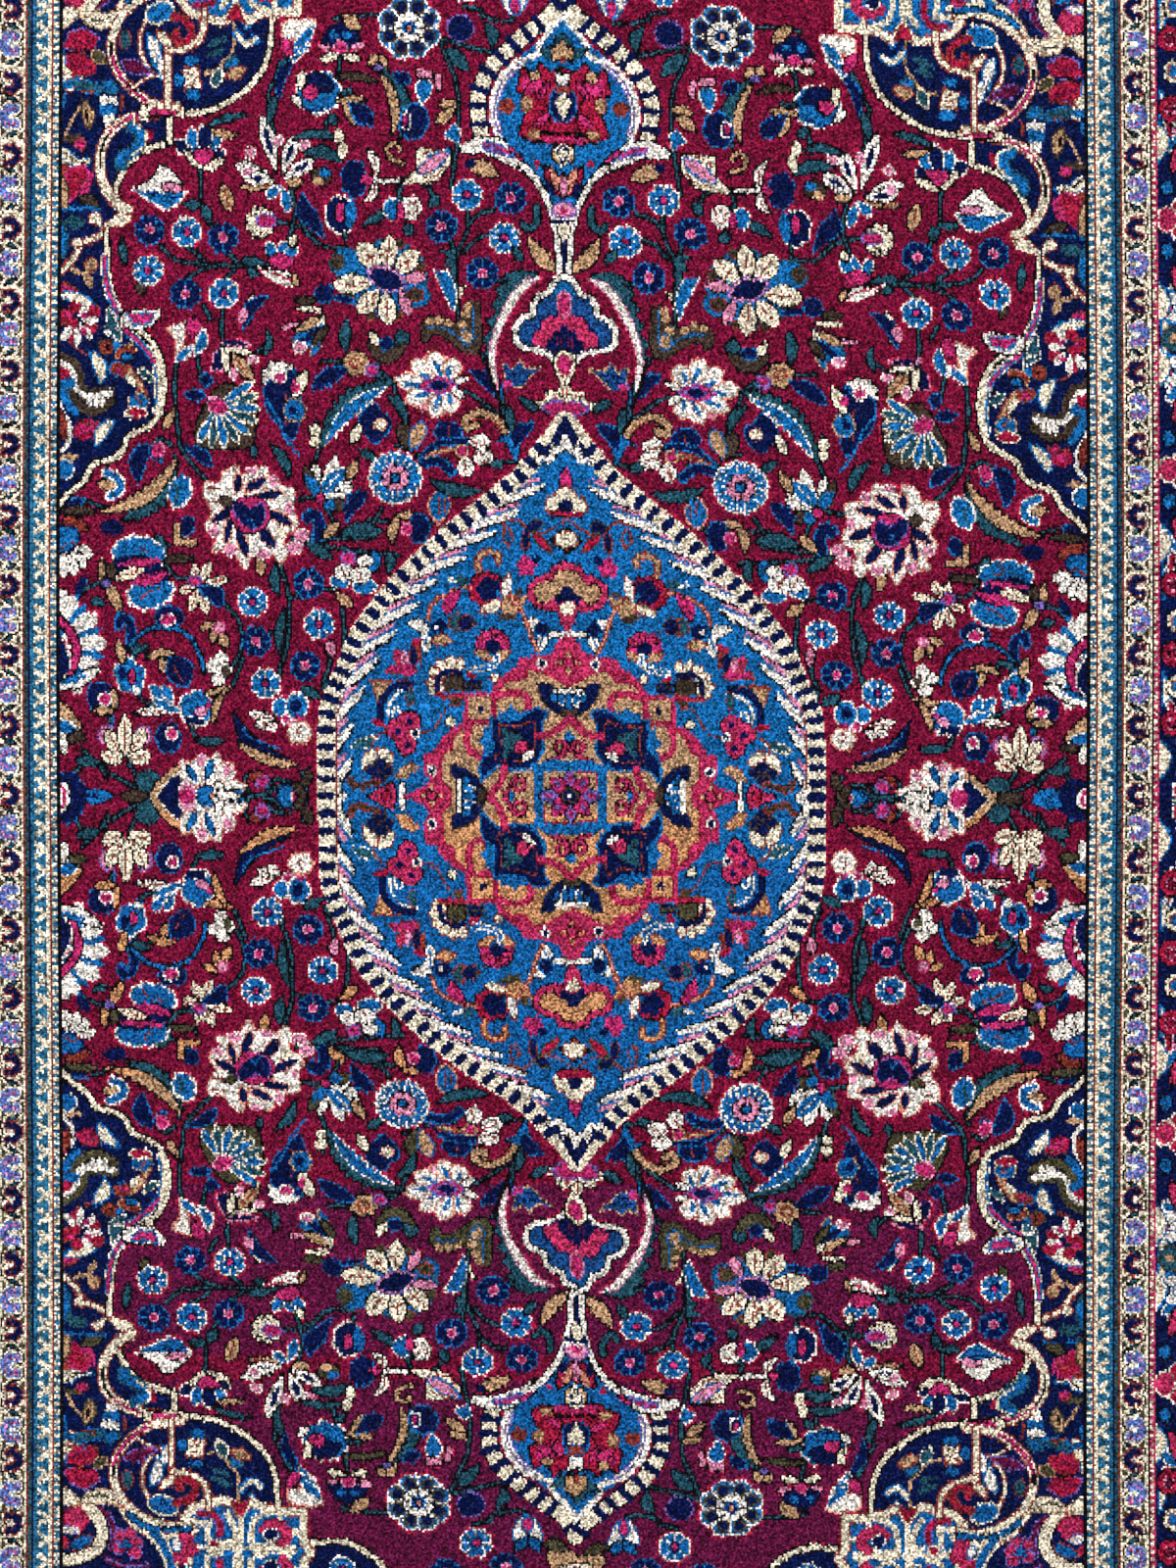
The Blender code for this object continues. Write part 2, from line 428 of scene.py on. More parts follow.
# %% Stems of the field
figures("""
line 1.9 teal//black -320,536 -319,512 -316,497 -308,486
-353,471 -340,459 -312,455 -262,453
-331,470 -322,464 -316,458
-299,466 -288,458
-331,442 -320,450 -306,454
-300,441 -290,450
-258,492 -238,488 -222,478
-246,470 -238,500 -243,522
-262,602 -259,580 -256,560
-262,602 -247,628 -240,640
-236,500 -228,482 -214,470 -196,470
-200,630 -202,614 -192,617 -172,612
-212,578 -213,562
-205,665 -183,668 -165,667
-115,648 -108,628 -100,608 -98,575 -101,548 -105,520
-115,648 -98,643 -72,636
-80,672 -95,676
-80,668 -64,663 -52,664
-90,500 -91,483 -100,460 -100,430 -98,403
-68,501 -82,497 -91,486
-71,480 -83,476 -94,464
-105,480 -103,465 -100,450
-64,440 -48,446 -32,446
-146,524 -150,514 -143,510
-120,512 -124,520 -130,524
-196,486 -195,476
-178,528 -150,524
-78,378 -70,360 -62,335 -56,315 -48,286
-98,347 -85,342 -64,326
-62,350 -60,335
-165,363 -152,354 -140,354
-165,371 -172,364 -163,357
-215,372 -200,371
-152,354 -152,345 -142,325 -147,298
-152,300 -140,298
-133,290 -118,284 -108,288
-133,291 -115,294 -95,297
-62,285 -48,286
-240,253 -220,256
-175,236 -150,234
-172,232 -163,246
-125,232 -110,238
-240,220 -220,219 -170,221
-212,213 -170,208 -150,206
-208,220 -206,236 -212,248
-223,282 -217,298 -220,320
-338,378 -341,350 -338,318 -336,300 -325,283 -312,268
-322,378 -319,362 -315,352
-300,418 -301,400 -299,384
-316,420 -310,408
-270,380 -262,388
-343,300 -352,306 -360,300
-341,292 -338,282
-414,252 -398,246
-352,205 -340,188 -327,186
-350,203 -332,203 -325,206
-345,215 -352,208
-300,186 -301,170 -286,150 -283,130 -290,112 -300,98
-255,212 -248,190 -243,170 -244,130 -252,105
-243,147 -252,142 -258,140
-400,183 -415,178 -428,165
-378,128 -374,112
-378,128 -350,118 -342,110
-376,95 -368,82 -358,78 -338,72
-397,74 -395,62
-306,85 -292,93 -282,118
-326,58 -322,50 -312,44
-420,40 -400,22 -380,10 -365,3
-380,28 -374,18 -366,8
-419,30 -426,18
-280,0 -262,2 -250,8
-278,4 -281,14 -276,20
-262,6 -255,13 -242,12
-209,130 -208,112 -214,96
-240,170 -205,176 -196,150 -196,120
-232,20 -228,0 -232,-4
""")

# %% Far outer flowers
# The outer field is drawn from the far end down. First the fan on its two cream sepals, under
# the big lobe.
for x, y, yarn in ((-337, 558, "navy"), (-303, 549, "navy"), (-327, 568, "sky"), (-307, 566, "sky"),
                   (-316, 572, "navy")):
    leaf(-318, 545, x + (x + 318) * 0.25, y + 3, 12, yarn, "ivory", full=0.65, reach=1.4)
figures("""
leaf 7 cream -319,537 -334,553 -318,536 -299,545
round magenta/black -327,552 -308,552 -317,540
leaf 6 2 teal -313,574 -281,583
leaf 6 -2 tan -311,571 -287,566
leaf 7 2 teal -318,508 -334,508
leaf 8 teal -317,506 -311,493
leaf 11 tan vein=rust -301,524 -294,500
# the bud with a cream cap and a sky cup
shape ivory//black -376,520 -360,530 -355,540 -347,538 -335,524 -350,518
shape sky//ivory -377,519 -352,517 -332,517 -341,506 -351,503 -358,508
line 1.4 navy -370,518 -350,514 -338,512
spot 9 4 -8 pink/black -344,521
leaf 6 teal -387,478 -384,454
leaf 7 brown -373,440 -368,430
# the bud that looks back at the middle
bloom 13 14 9 .22 cream//black -268,491
line 1.3 black -276,497 -264,501
-276,484 -264,481
spot 8 4.5 magenta//lilac -263,492
# the star of long cream petals
leaf 7 tan vein=rust -256,523 -286,521
leaf 10 tan -247,528 -232,524
petals 8 sky/ivory -250,524 -244,500 -262,512
petals 12 ivory/black core=navy -252,526 -290,541 -268,583 -238,566 -222,545 -284,531
spot 4.5 3.5 30 pink/ivory -277,551 -254,560 -231,557 -279,534
# the flower at the end of the long stem of roses
petals 8 teal/black -256,453 -284,459 -280,447 -262,474
petals 8 sky/ivory -254,456 -262,474 -246,474 -236,470
leaf 6 -3 ivory -274,453 -238,446
leaf 6 -2 ivory//scarlet -268,450 -236,437
round magenta/black -261,457 -252,464 -240,458 -246,450
leaf 6 cream -242,470 -238,480
leaf 5 tan -240,447 -236,436
""")

# %% Rose cluster
figures("""
rosette 12.5 navy -363,485
rosette 12.5 sky -331,483
rosette 12.5 navy -300,478
rosette 12.5 sky -364,450
rosette 12.5 navy -332,430
rosette 12.5 sky -299,430
""")

# %% Outer buds
figures("""
# the cream and magenta tulip
shape ivory//salmon -347,400 -329,407 -333,398 -334,388 -340,376 -340,392
spot 6 8 -15 magenta/black -325,402
leaf 8 3 sky//ivory -317,400 -324,378
leaf 6 sky//ivory -326,385 -340,372
# the square bud
shape navy/pink -307,378 -303,384 -300,364 -309,365
leaf 6 cream full=.4 -299,384 -296,362
leaf 5 cream -298,383 -274,379
leaf 4 navy/pink -302,389 -276,386
leaf 11 tan vein=rust -292,378 -274,356
spot 4 3 pink/ivory -274,373
spot 3 5 pink/ivory -290,361
leaf 6 3 teal -262,398 -264,378
# the folded lily
leaf 6 -3 cream -273,430 -277,404
leaf 9 -6 navy/sky -260,428 -282,400
spot 4 7 -20 pink -283,411
leaf 5 pink -250,401 -232,403
# the cream rose and its big curled leaf
bloom 15 13 9 .2 ivory//black -252,359
leaf 14 -4 navy/sky -262,346 -238,364
round navy/sky -263,352 -250,358 -236,352 -234,330 -239,305 -252,318 -262,332
line 2.2 sky -263,340 -252,322 -246,306 -234,290
spot 5.5 4 magenta/ivory -251,358
line 1.4 rust -247,345 -243,330 -246,318
# the striped fan
leaf 10 navy/sky -314,350 -313,362
leaf 8 navy/sky -314,342 -332,344
round brown//black -322,318 -318,300 -296,298 -276,300 -271,320 -272,338 -288,350 -304,350
""")
for k in range(9):
    angle = math.radians(-118 + 19 * k)
    tip = (-304 + 36 * math.cos(angle), 334 + 36 * math.sin(angle))
    leaf(-304, 334, *tip, 6.5, ("sky", "teal")[k % 2], "cream", full=0.68, reach=1.5)
figures("""
spot 8.5 6 -30 magenta/pink -304,334
leaf 6 teal -274,300 -272,290
# leaves of the long stem
leaf 7 tan full=.65 -340,334 -350,314
leaf 10 3 navy/sky full=.6 -334,300 -309,282
leaf 8 4 teal -259,300 -243,272
# the bud with a magenta eye
leaf 14 -5 navy/sky full=.42 -364,302 -371,268
leaf 8 navy/sky -362,300 -352,286
spot 4.5 6.5 -15 magenta/pink -355,296
# the little tan bud in a sky crescent
leaf 9 tan full=.6 -407,268 -391,266
line 5.5 sky//ivory -399,277 -388,271 -388,261 -396,257
""")

# %% The two-coloured saw leaf beside the white rosette
figures("""
leaf 13 9 teal teeth=8 -339,286 -386,236
leaf 11 11 tan teeth=-9 -339,288 -404,244
bloom 9 14 7 .14 -14 sky//ivory -336,261
line 3 teal -341,268 -337,260 -340,252
leaf 7 navy/sky -437,248 -418,254
leaf 7 2 brown -438,243 -408,243
leaf 12 rust -436,238 -415,228
spot 10 7 -8 navy -394,230
spot 6 8 -25 navy/sky -330,231
shape tan/black -341,234 -336,233 -336,221 -322,219 -321,214 -341,215
leaf 8 teal -357,224 -348,206
""")

# %% The big sky bud with magenta bands beside the border
figures("""
bloom 23 15 10 .12 -8 sky//ivory -371,207
bloom 20 13 9 .12 14 sky//ivory -361,174
leaf 24 navy/black -394,200 -345,186
leaf 7 magenta/ -391,198 -350,201
leaf 10 -5 magenta/ -388,188 -344,192
leaf 9 cream vein=rust -393,186 -366,194
line 1.4 rust -362,208 -369,212 -366,217
-352,178 -364,174 -370,168
leaf 6 tan -403,204 -402,178
leaf 8 brown -395,200 -394,186
leaf 9 tan full=.4 -397,180 -386,158
spot 4.5 3.5 lilac/black -399,182
leaf 7 2 brown -350,201 -324,202
""")
# the half rosette that the border cuts
for angle in (-16, -42, -66, -88):
    tip = (-436 + 27 * math.cos(math.radians(angle)), 214 + 27 * math.sin(math.radians(angle)))
    leaf(-436, 214, *tip, 12, "ivory", "black", full=0.72, reach=1.2)
figures("""
spot 15 10 20 sky//navy -436,220
line 1.6 rust -438,212 -430,218 -424,214
""")

# %% The half palmette, white and sky, that the side border cuts
figures("""
line 5 sky -436,140 -432,158 -424,172 -417,184
leaf 8 navy/ -425,172 -416,190
leaf 7 teal -412,168 -400,164
shape ivory/black -446,178 -432,176 -430,160 -441,150
""")
middle = (-446, 128)
for k in range(9):
    angle = math.radians(66 - 15.5 * k)
    tip = (middle[0] + 47 * math.cos(angle), middle[1] + 47 * math.sin(angle))
    base = (middle[0] + 12 * math.cos(angle), middle[1] + 12 * math.sin(angle))
    leaf(*base, *tip, 13 if k % 2 == 0 else 8, "sky" if k % 2 else "ivory", "ivory" if k % 2 == 0 else None,
         full=0.7, reach=1.5)
figures("""
line 6 magenta//black -440,152 -428,138 -424,122 -430,106
round navy/ivory -447,146 -436,132 -430,112 -438,100 -447,96
leaf 11 -3 ivory -446,92 -404,110
leaf 3 sky/ -436,98 -418,106
line 3 sky -446,96 -430,98 -418,103
""")

# %% Middle outer flowers
figures("""
line 6 navy//sky -379,126 -377,140 -380,150 -386,152 -388,146
line 2.6 sky//black -379,128 -364,142 -344,144 -328,136 -318,118 -316,106
spot 12 9 navy/sky -345,153
spot 6 4.5 magenta/ivory -346,151
""")
shape(ring_of(-379, 103, 13, 15, turn=20, lobes=5, depth=0.2), "sky", "ivory", 1.4)
figures("""
leaf 7 navy/ -384,98 -386,112
leaf 6 navy/ -378,94 -368,88
spot 3.2 6 magenta:black -377,102
spot 4 3 ivory/sky -373,90
leaf 7 tan -389,133 -384,113
leaf 7 teal full=.35 -378,124 -363,129
leaf 7 3 tan -366,116 -341,122
leaf 8 tan -352,118 -348,106
leaf 22 2 navy/sky -345,118 -330,94
line 1.4 rust -342,112 -338,104 -334,98
# the cream bud with a brown eye
spot 6 5.5 ivory/black -308,111 -301,117 -303,100 -297,108
spot 6 5 ivory -300,108
spot 4 4.5 brown -297,107
# the bracket flower
leaf 6 tan -319,143 -303,148 -306,146 -308,130
leaf 8 tan -302,141 -295,126
spot 4.5 pink/magenta -302,144
# the winged flower
petals 8 cream/black vein=rust -320,180 -324,198 -310,200 -294,186 -337,175 -327,158 -312,155
round navy/sky -319,178 -306,179 -299,174 -300,162 -308,166
spot 4.5 4 magenta//lilac -323,184
# the square flower with a round eye
bloom 12 13 4 .1 45 navy:sky -403,85
leaf 7 tan -411,74 -393,72 -393,92 -391,73
spot 5 4.5 magenta//ivory -400,83
leaf 3 sky/ -394,70 -392,60
# the lobed sky flower on its cream leaf
leaf 7 ivory vein=rust -376,71 -344,73
petals 8 sky/ivory full=.7 -340,76 -362,94 -350,94
leaf 6 -2 sky/ivory -360,84 -334,72
bloom 14 15 5 .13 10 sky//ivory -322,75
shape navy:ivory -334,68 -316,66 -314,60 -330,60
spot 5.5 4 20 pink/navy -318,72
spot 3.5 3 magenta -311,78
leaf 6 -1 tan -316,88 -292,92
leaf 6 -2 tan -298,90 -308,62
# the tulip of five striped petals
leaf 12 pink/lilac -396,60 -402,44 -370,60 -364,44
petals 12 cream/black vein=rust -383,28 -403,36 -399,57 -366,57 -361,36
petals 12 cream/black vein=rust full=.5 -383,28 -383,71
# the navy bud with a ring
bloom 11 13 6 .12 navy/sky -346,50
spot 4 4.5 magenta//ivory -343,53
leaf 7 -1 teal -323,48 -298,47
# what the side border cuts off
leaf 11 -3 tan -443,84 -420,58
leaf 10 sky/ivory -444,62 -424,56
leaf 14 ivory/black -444,58 -434,36
leaf 8 2 brown -432,48 -416,50
leaf 8 teal full=.4 -425,31 -403,28
leaf 4 teal -402,28 -398,14
""")

# %% The palmette on the rug's cross line, its head towards the medallion
figures("""
leaf 3 teal -405,27 -400,18
leaf 14 teal -372,5 -362,20
round teal/black -363,22 -352,14 -356,3 -368,4 -374,16
leaf 7 brown -386,1 -362,1
# the navy half flower at the border
bloom 16 15 5 .12 navy:sky -434,6
spot 16 12 navy -430,-2
leaf 12 sky/black full=.4 -420,0 -393,0
spot 9 6 navy -425,2
line 1.4 navy -432,4 -420,1 -404,0
spot 6 9 ivory/black -437,3
spot 4 6.5 magenta -438,3
spot 2 3.5 ivory -439,3
# the tan shell, the navy shell and the heart
shape tan//black -332,28 -345,22 -357,10 -363,-1 -352,-1 -344,8 -328,16
shape navy/cream -322,20 -340,18 -350,8 -356,-1 -330,-1
petals 15 ivory/salmon full=.55 inner=.05 -318,4 -335,30 -322,33 -303,36 -291,27 -279,8
petals 5.5 sky:navy inner=.35 -318,4 -330,26 -308,31
leaf 5 ivory/ -302,6 -288,22
leaf 5 sky:black -300,2 -281,3
leaf 3 ivory/ -299,3 -288,3
spot 4 5 -20 pink/ivory -318,30 -296,22
leaf 6 ivory/black -306,12 -299,3
spot 7 7.5 pink/ivory -330,4
spot 7.5 6 magenta -331,0
leaf 8 sky:navy -322,2 -308,6
leaf 7 ivory/black -306,0 -284,0
leaf 9 rust full=.4 -277,18 -262,14
spot 5 4 30 magenta//lilac -266,12
# the stemmed sky bud before the medallion
shape sky/navy -254,0 -248,8 -236,9 -230,0
spot 3.5 4 magenta/ivory -237,2
""")

# %% What grows between the outer field and the medallion
figures("""
leaf 11 -11 navy -290,72 -243,31
line 1.8 sky -284,60 -276,50 -262,44 -250,40
leaf 8 -5 tan -287,46 -236,26
petals 8 ivory/black vein=rust -250,64 -278,71 -272,60 -262,56
spot 7 sky/ivory -250,76
spot 7 5 pink/ivory -242,66
bloom 9 11 6 .14 sky//ivory -236,77
spot 4.5 6 navy -237,77
spot 3 magenta -246,66
spot 4 3 magenta -234,66
bloom 10 9 6 .1 ivory//salmon -234,54
line 1.5 rust -233,60 -236,55 -232,50
leaf 8 teal full=.45 -232,92 -216,84
leaf 8 tan full=.6 -204,175 -188,161
leaf 8 pink full=.4 -208,133 -206,118
leaf 6 teal -206,100 -214,90
leaf 8 tan full=.4 -268,205 -266,188
leaf 8 -2 teal -254,198 -252,172
leaf 7 -3 teal -246,160 -250,120
leaf 4 teal -250,112 -252,98
leaf 8 3 brown -226,24 -234,8
leaf 6 brown -240,12 -228,-2
rosette 12.5 sky -274,166
rosette 12.5 navy -271,132
rosette 12.5 sky -263,96 -217,147
rosette 12.5 navy -229,111 -226,182
""")

# %% The great cream flower of nine uneven petals, with navy veins and a magenta heart
PETAL_EDGE = (
    (-287, 282), (-284, 273), (-274, 279), (-263, 281), (-260, 273), (-253, 266), (-240, 263),
    (-239, 254), (-243, 246), (-236, 237), (-238, 228), (-249, 223), (-245, 207), (-250, 200),
    (-258, 208), (-269, 205), (-275, 205), (-280, 195), (-286, 204), (-292, 212), (-308, 210),
    (-304, 221), (-314, 231), (-308, 243), (-315, 256), (-314, 268), (-302, 268), (-298, 277),
)
shape(PETAL_EDGE, "ivory", "salmon", 1.3, smooth=True)
figures("""
spot 5 3 pink:ivory -275,278
spot 4 5 pink:ivory -256,269
spot 3 5 pink:ivory -243,246
spot 6 4 pink:ivory -265,207
spot 6 5 pink:ivory -293,211
spot 5 4 pink:ivory -307,226
spot 6 pink:ivory -232,222
spot 7 5 pink:ivory -238,212
leaf 9 cream/ -252,236 -247,218
leaf 7 navy/salmon -287,259 -286,276
leaf 8 navy/salmon -281,261 -262,272 -272,256 -247,259 -262,244 -240,232
leaf 10 navy/salmon -268,230 -255,212
leaf 8 navy/salmon -287,230 -278,204
leaf 6 navy/salmon -293,238 -297,215
leaf 8 navy/salmon -289,247 -310,233
leaf 9 brown:black -290,250 -303,254
bar 1.4 rust -312,263 -302,263
-312,252 -302,252
spot 17 16 magenta/black -276,241
shape navy:lilac -289,252 -283,252 -276,245 -272,247 -266,251 -263,243 -265,233 -273,228 -280,231 -286,238
 -290,244
bar 1.3 sky -280,232 -276,238 -272,230
""")

# %% The lobed rosette at the far end of the inner field
def lobed_rosette(x, y):
    """The great rosette of eight sky lobes with navy eyes, round a ring of cream squares."""
    lobes = [math.radians(22.5 + 45 * k) for k in range(8)]
    gaps = [math.radians(45 * k) for k in range(8)]
    for angle in lobes:
        spot(x + 17.5 * math.cos(angle), y + 17.5 * math.sin(angle), 9.3, 9.3, "sky", "ivory", reach=1.5)
    spot(x, y, 18, 18, "sky")
    for angle, gap in zip(lobes, gaps):
        spot(x + 18.5 * math.cos(angle), y + 18.5 * math.sin(angle), 4.4, 4.4, "navy", "brown", reach=1.7)
        spoke(x, y, gap, 9, 22, "ivory", 1.4)
    spot(x, y, 13, 13, "ivory", "black", reach=1.2)
    for gap in gaps:
        spoke(x, y, gap, 6, 12, "black", 1.2)
    spot(x, y, 4.6, 4.6, "navy", "sky", reach=1.8)
    spot(x, y, 1.8, 2.6, "salmon")


lobed_rosette(-141, 657)

# %% Far inner flowers
figures("""
# the half bell cut by the lobe of the corner
leaf 7 -3 teal -246,634 -252,602
leaf 8 -6 navy:sky -238,632 -252,596
leaf 7 teal -256,600 -262,576
round ivory//salmon -250,660 -236,664 -222,662 -232,652 -243,648 -246,640
shape sky/ivory -222,660 -228,640 -240,628 -243,634 -236,650
line 1.4 ivory -240,640 -232,642 -224,650
-242,634 -234,636 -228,642
spot 4.5 9 25 magenta/black -246,641
# the navy dome on cream sepals
round navy/black -216,644 -210,656 -200,661 -190,657 -183,645 -192,640 -206,640
spot 4 3 sky -206,651 -194,651
leaf 5 pink:black -208,640 -219,642
leaf 6 pink:black -192,640 -178,643
spot 5 magenta/pink -200,640
leaf 7 cream full=.6 -201,634 -217,631 -199,634 -183,630
leaf 10 tan -198,669 -182,655
# the lobed flower with its white bars
bloom 19 18 7 .12 10 sky//ivory -219,602
round navy/black -236,606 -226,618 -214,617 -206,606 -220,602
line 1.6 navy -234,590 -222,586 -208,592
shape cream/black -238,618 -231,619 -230,604 -235,604
leaf 6 ivory -242,600 -233,590
spot 6.5 5.5 magenta//black -226,602
leaf 6 2 brown -204,616 -168,611
leaf 4 teal -202,602 -188,603
leaf 6 1 tan -203,594 -178,596
leaf 7 tan -196,592 -187,574
leaf 15 navy:sky full=.6 -193,594 -172,574
leaf 7 teal -210,584 -203,574
# the two-coloured saw leaf
leaf 11 9 tan teeth=7 -166,618 -156,566
leaf 8 12 teal teeth=-7 -164,622 -149,562
leaf 7 tan full=.6 -176,626 -168,633 -160,622 -166,633
spot 4 3 lilac:black -168,623
leaf 10 navy:sky -154,618 -140,610
bloom 12 15 7 .1 -8 navy//sky -137,577
line 1.6 ivory -147,582 -141,584 -140,572 -147,571
spot 2.5 4.5 magenta -144,578
# the sky cone with its pink bars
leaf 13 sky/ivory full=.32 -127,613 -130,592
shape pink/black -135,622 -122,620 -121,614 -134,614
-119,617 -114,617 -113,604 -117,602
spot 11 navy/lilac -97,657
leaf 9 4 teal -76,661 -70,640
leaf 11 teal full=.45 -108,640 -90,620
leaf 8 tan -116,590 -99,593
leaf 9 tan -118,575 -102,588
shape sky:ivory -110,565 -103,575 -97,570 -99,558
# teal leaves and the cream pod
leaf 7 4 teal -240,562 -204,563
leaf 10 5 teal -232,550 -198,542
spot 4 7 8 cream/black -201,564
spot 4 7 -8 cream/black -198,552
spot 9 8 brown/black -216,530
spot 5 4 tan -219,526
spot 5 4 sky -213,533
# the navy half fan and its forked stem
bloom 11 16 7 .12 4 navy:sky -188,528
leaf 7 -5 ivory vein=rust -171,527 -178,554
leaf 7 5 ivory vein=rust -171,528 -180,508
line 3 ivory//black -172,527 -160,526 -148,526
shape magenta/black -182,527 -177,532 -171,527 -177,522
line 3.2 tan//black -146,541 -156,545 -160,554 -153,558 -148,553
shape cream//black -148,524 -134,536 -134,554 -106,554 -106,540 -118,526 -132,524
line 1.3 rust -132,545 -122,552 -112,553
-130,528 -118,530 -110,538
leaf 10 pink//sky -134,532 -107,551
# small flowers above the great lotus
bloom 12 16 7 .12 6 navy//ivory -200,497
leaf 10 sky/ -190,510 -192,484
spot 3.6 8 magenta:black -200,499
shape navy/sky -238,500 -232,515 -226,505 -220,500 -214,478 -222,484 -232,492
leaf 8 teal full=.6 -180,488 -160,500
spot 8 9 20 sky/ivory -154,502
spot 9 10 ivory/black -139,503
spot 4 5 ivory/rust -138,503
spot 3.2 6.5 magenta/black -148,500
leaf 8 teal -144,490 -138,480 -116,514 -122,503
rosette 13 sky -91,514
rosette 13 navy -54,511 -113,487
rosette 13 sky -59,477
rosette 13 navy -78,447
leaf 7 teal -51,469 -43,457
line 5 teal//black -31,503 -31,491 -38,485 -43,489
leaf 13 tan -91,543 -64,530
spot 4.5 4 navy -88,541
leaf 11 4 tan teeth=-5 -12,448 -38,478
""")

# %% The lotus with eight veined cream petals
x, y = -161, 440
shape(ring_of(x - 1, y + 2, 37, 34, lobes=12, depth=0.12), "sky", "teal", 1.4)
spot(x - 34, y + 17, 14, 11, "sky", "teal", turn=20, reach=1.2)
spot(x - 41, y + 17, 6, 7, "brown", "teal", reach=1.2)
spot(x + 27, y - 12, 11, 10, "sky", "teal", reach=1.2)
spot(x + 26, y - 12, 6, 5, "brown", "rust", reach=1.6)
for dx, dy in ((-16, 24), (12, 32), (30, 13), (10, -29), (-12, -29), (-32, -12)):
    spot(x + dx, y + dy, 4.5, 4, "brown", "rust", reach=1.1)
LOTUS_PETALS = (
    (-183, 474, 18), (-157, 480, 15), (-132, 466, 16), (-206, 437, 17), (-184, 412, 16), (-158, 402, 15),
)
leaf(x + 14, y + 2, -124, 444, 9, "pink", "black", reach=1.1)
leaf(x + 12, y - 8, -139, 410, 9, "pink", "black", reach=1.1)
for tip_x, tip_y, width in LOTUS_PETALS:
    base = (x + (tip_x - x) * 0.2, y + (tip_y - y) * 0.2)
    leaf(*base, tip_x, tip_y, width, "cream", "black", vein="rust", full=0.58, reach=1.2)
    turn = math.atan2(tip_y - y, tip_x - x)
    middle = (x + (tip_x - x) * 0.62, y + (tip_y - y) * 0.62)
    for way in (-1, 1):
        side = (middle[0] + 5.5 * math.cos(turn + way * 2.0), middle[1] + 5.5 * math.sin(turn + way * 2.0))
        line((middle, side), "rust", 1.3, smooth=False)
shape(placed(leaf_outline((-16, 0), (16, 0), 17), x + 1, y + 2, -22), "navy", "pink", 1.4)
knots = placed(leaf_outline((-19, 0), (19, 0), 22), x + 1, y + 2, -22)
line(np.vstack((knots, knots[:1])), "lilac", 1.4, smooth=False)

# %% The white star palmette that points away from the middle
x, y = -108, 350
tips = ((-152, 356), (-138, 372), (-122, 380), (-101, 374), (-143, 338), (-121, 325), (-104, 328))
for tip_x, tip_y in ((-134, 366), (-112, 376), (-140, 345), (-130, 330)):
    leaf(x, y, tip_x, tip_y, 12, "pink", "salmon", reach=1.3)
petals_round(x, y, tips, 15, "ivory", "salmon", full=0.66, reach=1.3)
for tip_x, tip_y in ((-146, 352), (-134, 362), (-120, 374), (-106, 370), (-138, 340), (-120, 330),
                     (-104, 334)):
    start = (x + (tip_x - x) * 0.35, y + (tip_y - y) * 0.35)
    leaf(*start, tip_x, tip_y, 4.2, "sky", None)
figures("""
leaf 6 ivory/black -104,352 -90,358 -104,348 -92,340
leaf 14 magenta/lilac -132,351 -101,351
leaf 8 navy/lilac -124,351 -107,351
""")

# %% Leaves with one sawn edge, between the lotus and the medallion
figures("""
shape brown/black -131,402 -124,410 -112,409 -100,404 -94,412 -89,424 -80,422 -79,408 -78,390 -82,378
 -92,378 -104,388 -114,395 -121,395 -123,389 -129,389
spot 4 3.4 tan -123,406 -115,407
spot 4 3.2 tan -107,404
spot 4 3.4 tan -92,412
spot 4 3 tan -90,419 -95,403
line 1.6 sky -126,400 -116,401 -106,398 -98,393 -91,385 -85,392 -86,404 -86,419
spot 4.4 6 25 tan:sky -91,393
# the wedge of sky blue on the stem
shape teal:black -114,467 -107,462 -110,455 -104,452 -106,446 -101,440 -101,468
shape sky:ivory -119,449 -108,448 -102,438 -100,425 -103,413 -107,424 -113,436
shape cream:black -98,420 -96,430 -91,436 -97,435
# sawn leaf in teal and sky
leaf 15 13 teal teeth=10 -216,296 -152,354
leaf 10 7 sky/ivory teeth=-9 -211,302 -160,349
# curled tan leaf
line 5.5 tan//black -57,309 -66,322 -80,328 -92,322 -90,314 -83,317
line 1.3 rust -62,314 -72,322 -86,322
# wedge and curl beside the medallion's point
shape sky/black -66,303 -58,303 -48,284 -46,300 -54,309
leaf 13 5 navy/sky -50,298 -34,318
leaf 7 teal -56,334 -52,312
leaf 13 4 navy:sky -88,364 -62,340
leaf 6 teal -70,362 -64,345
spot 6 3.5 -10 teal//black -66,284
""")

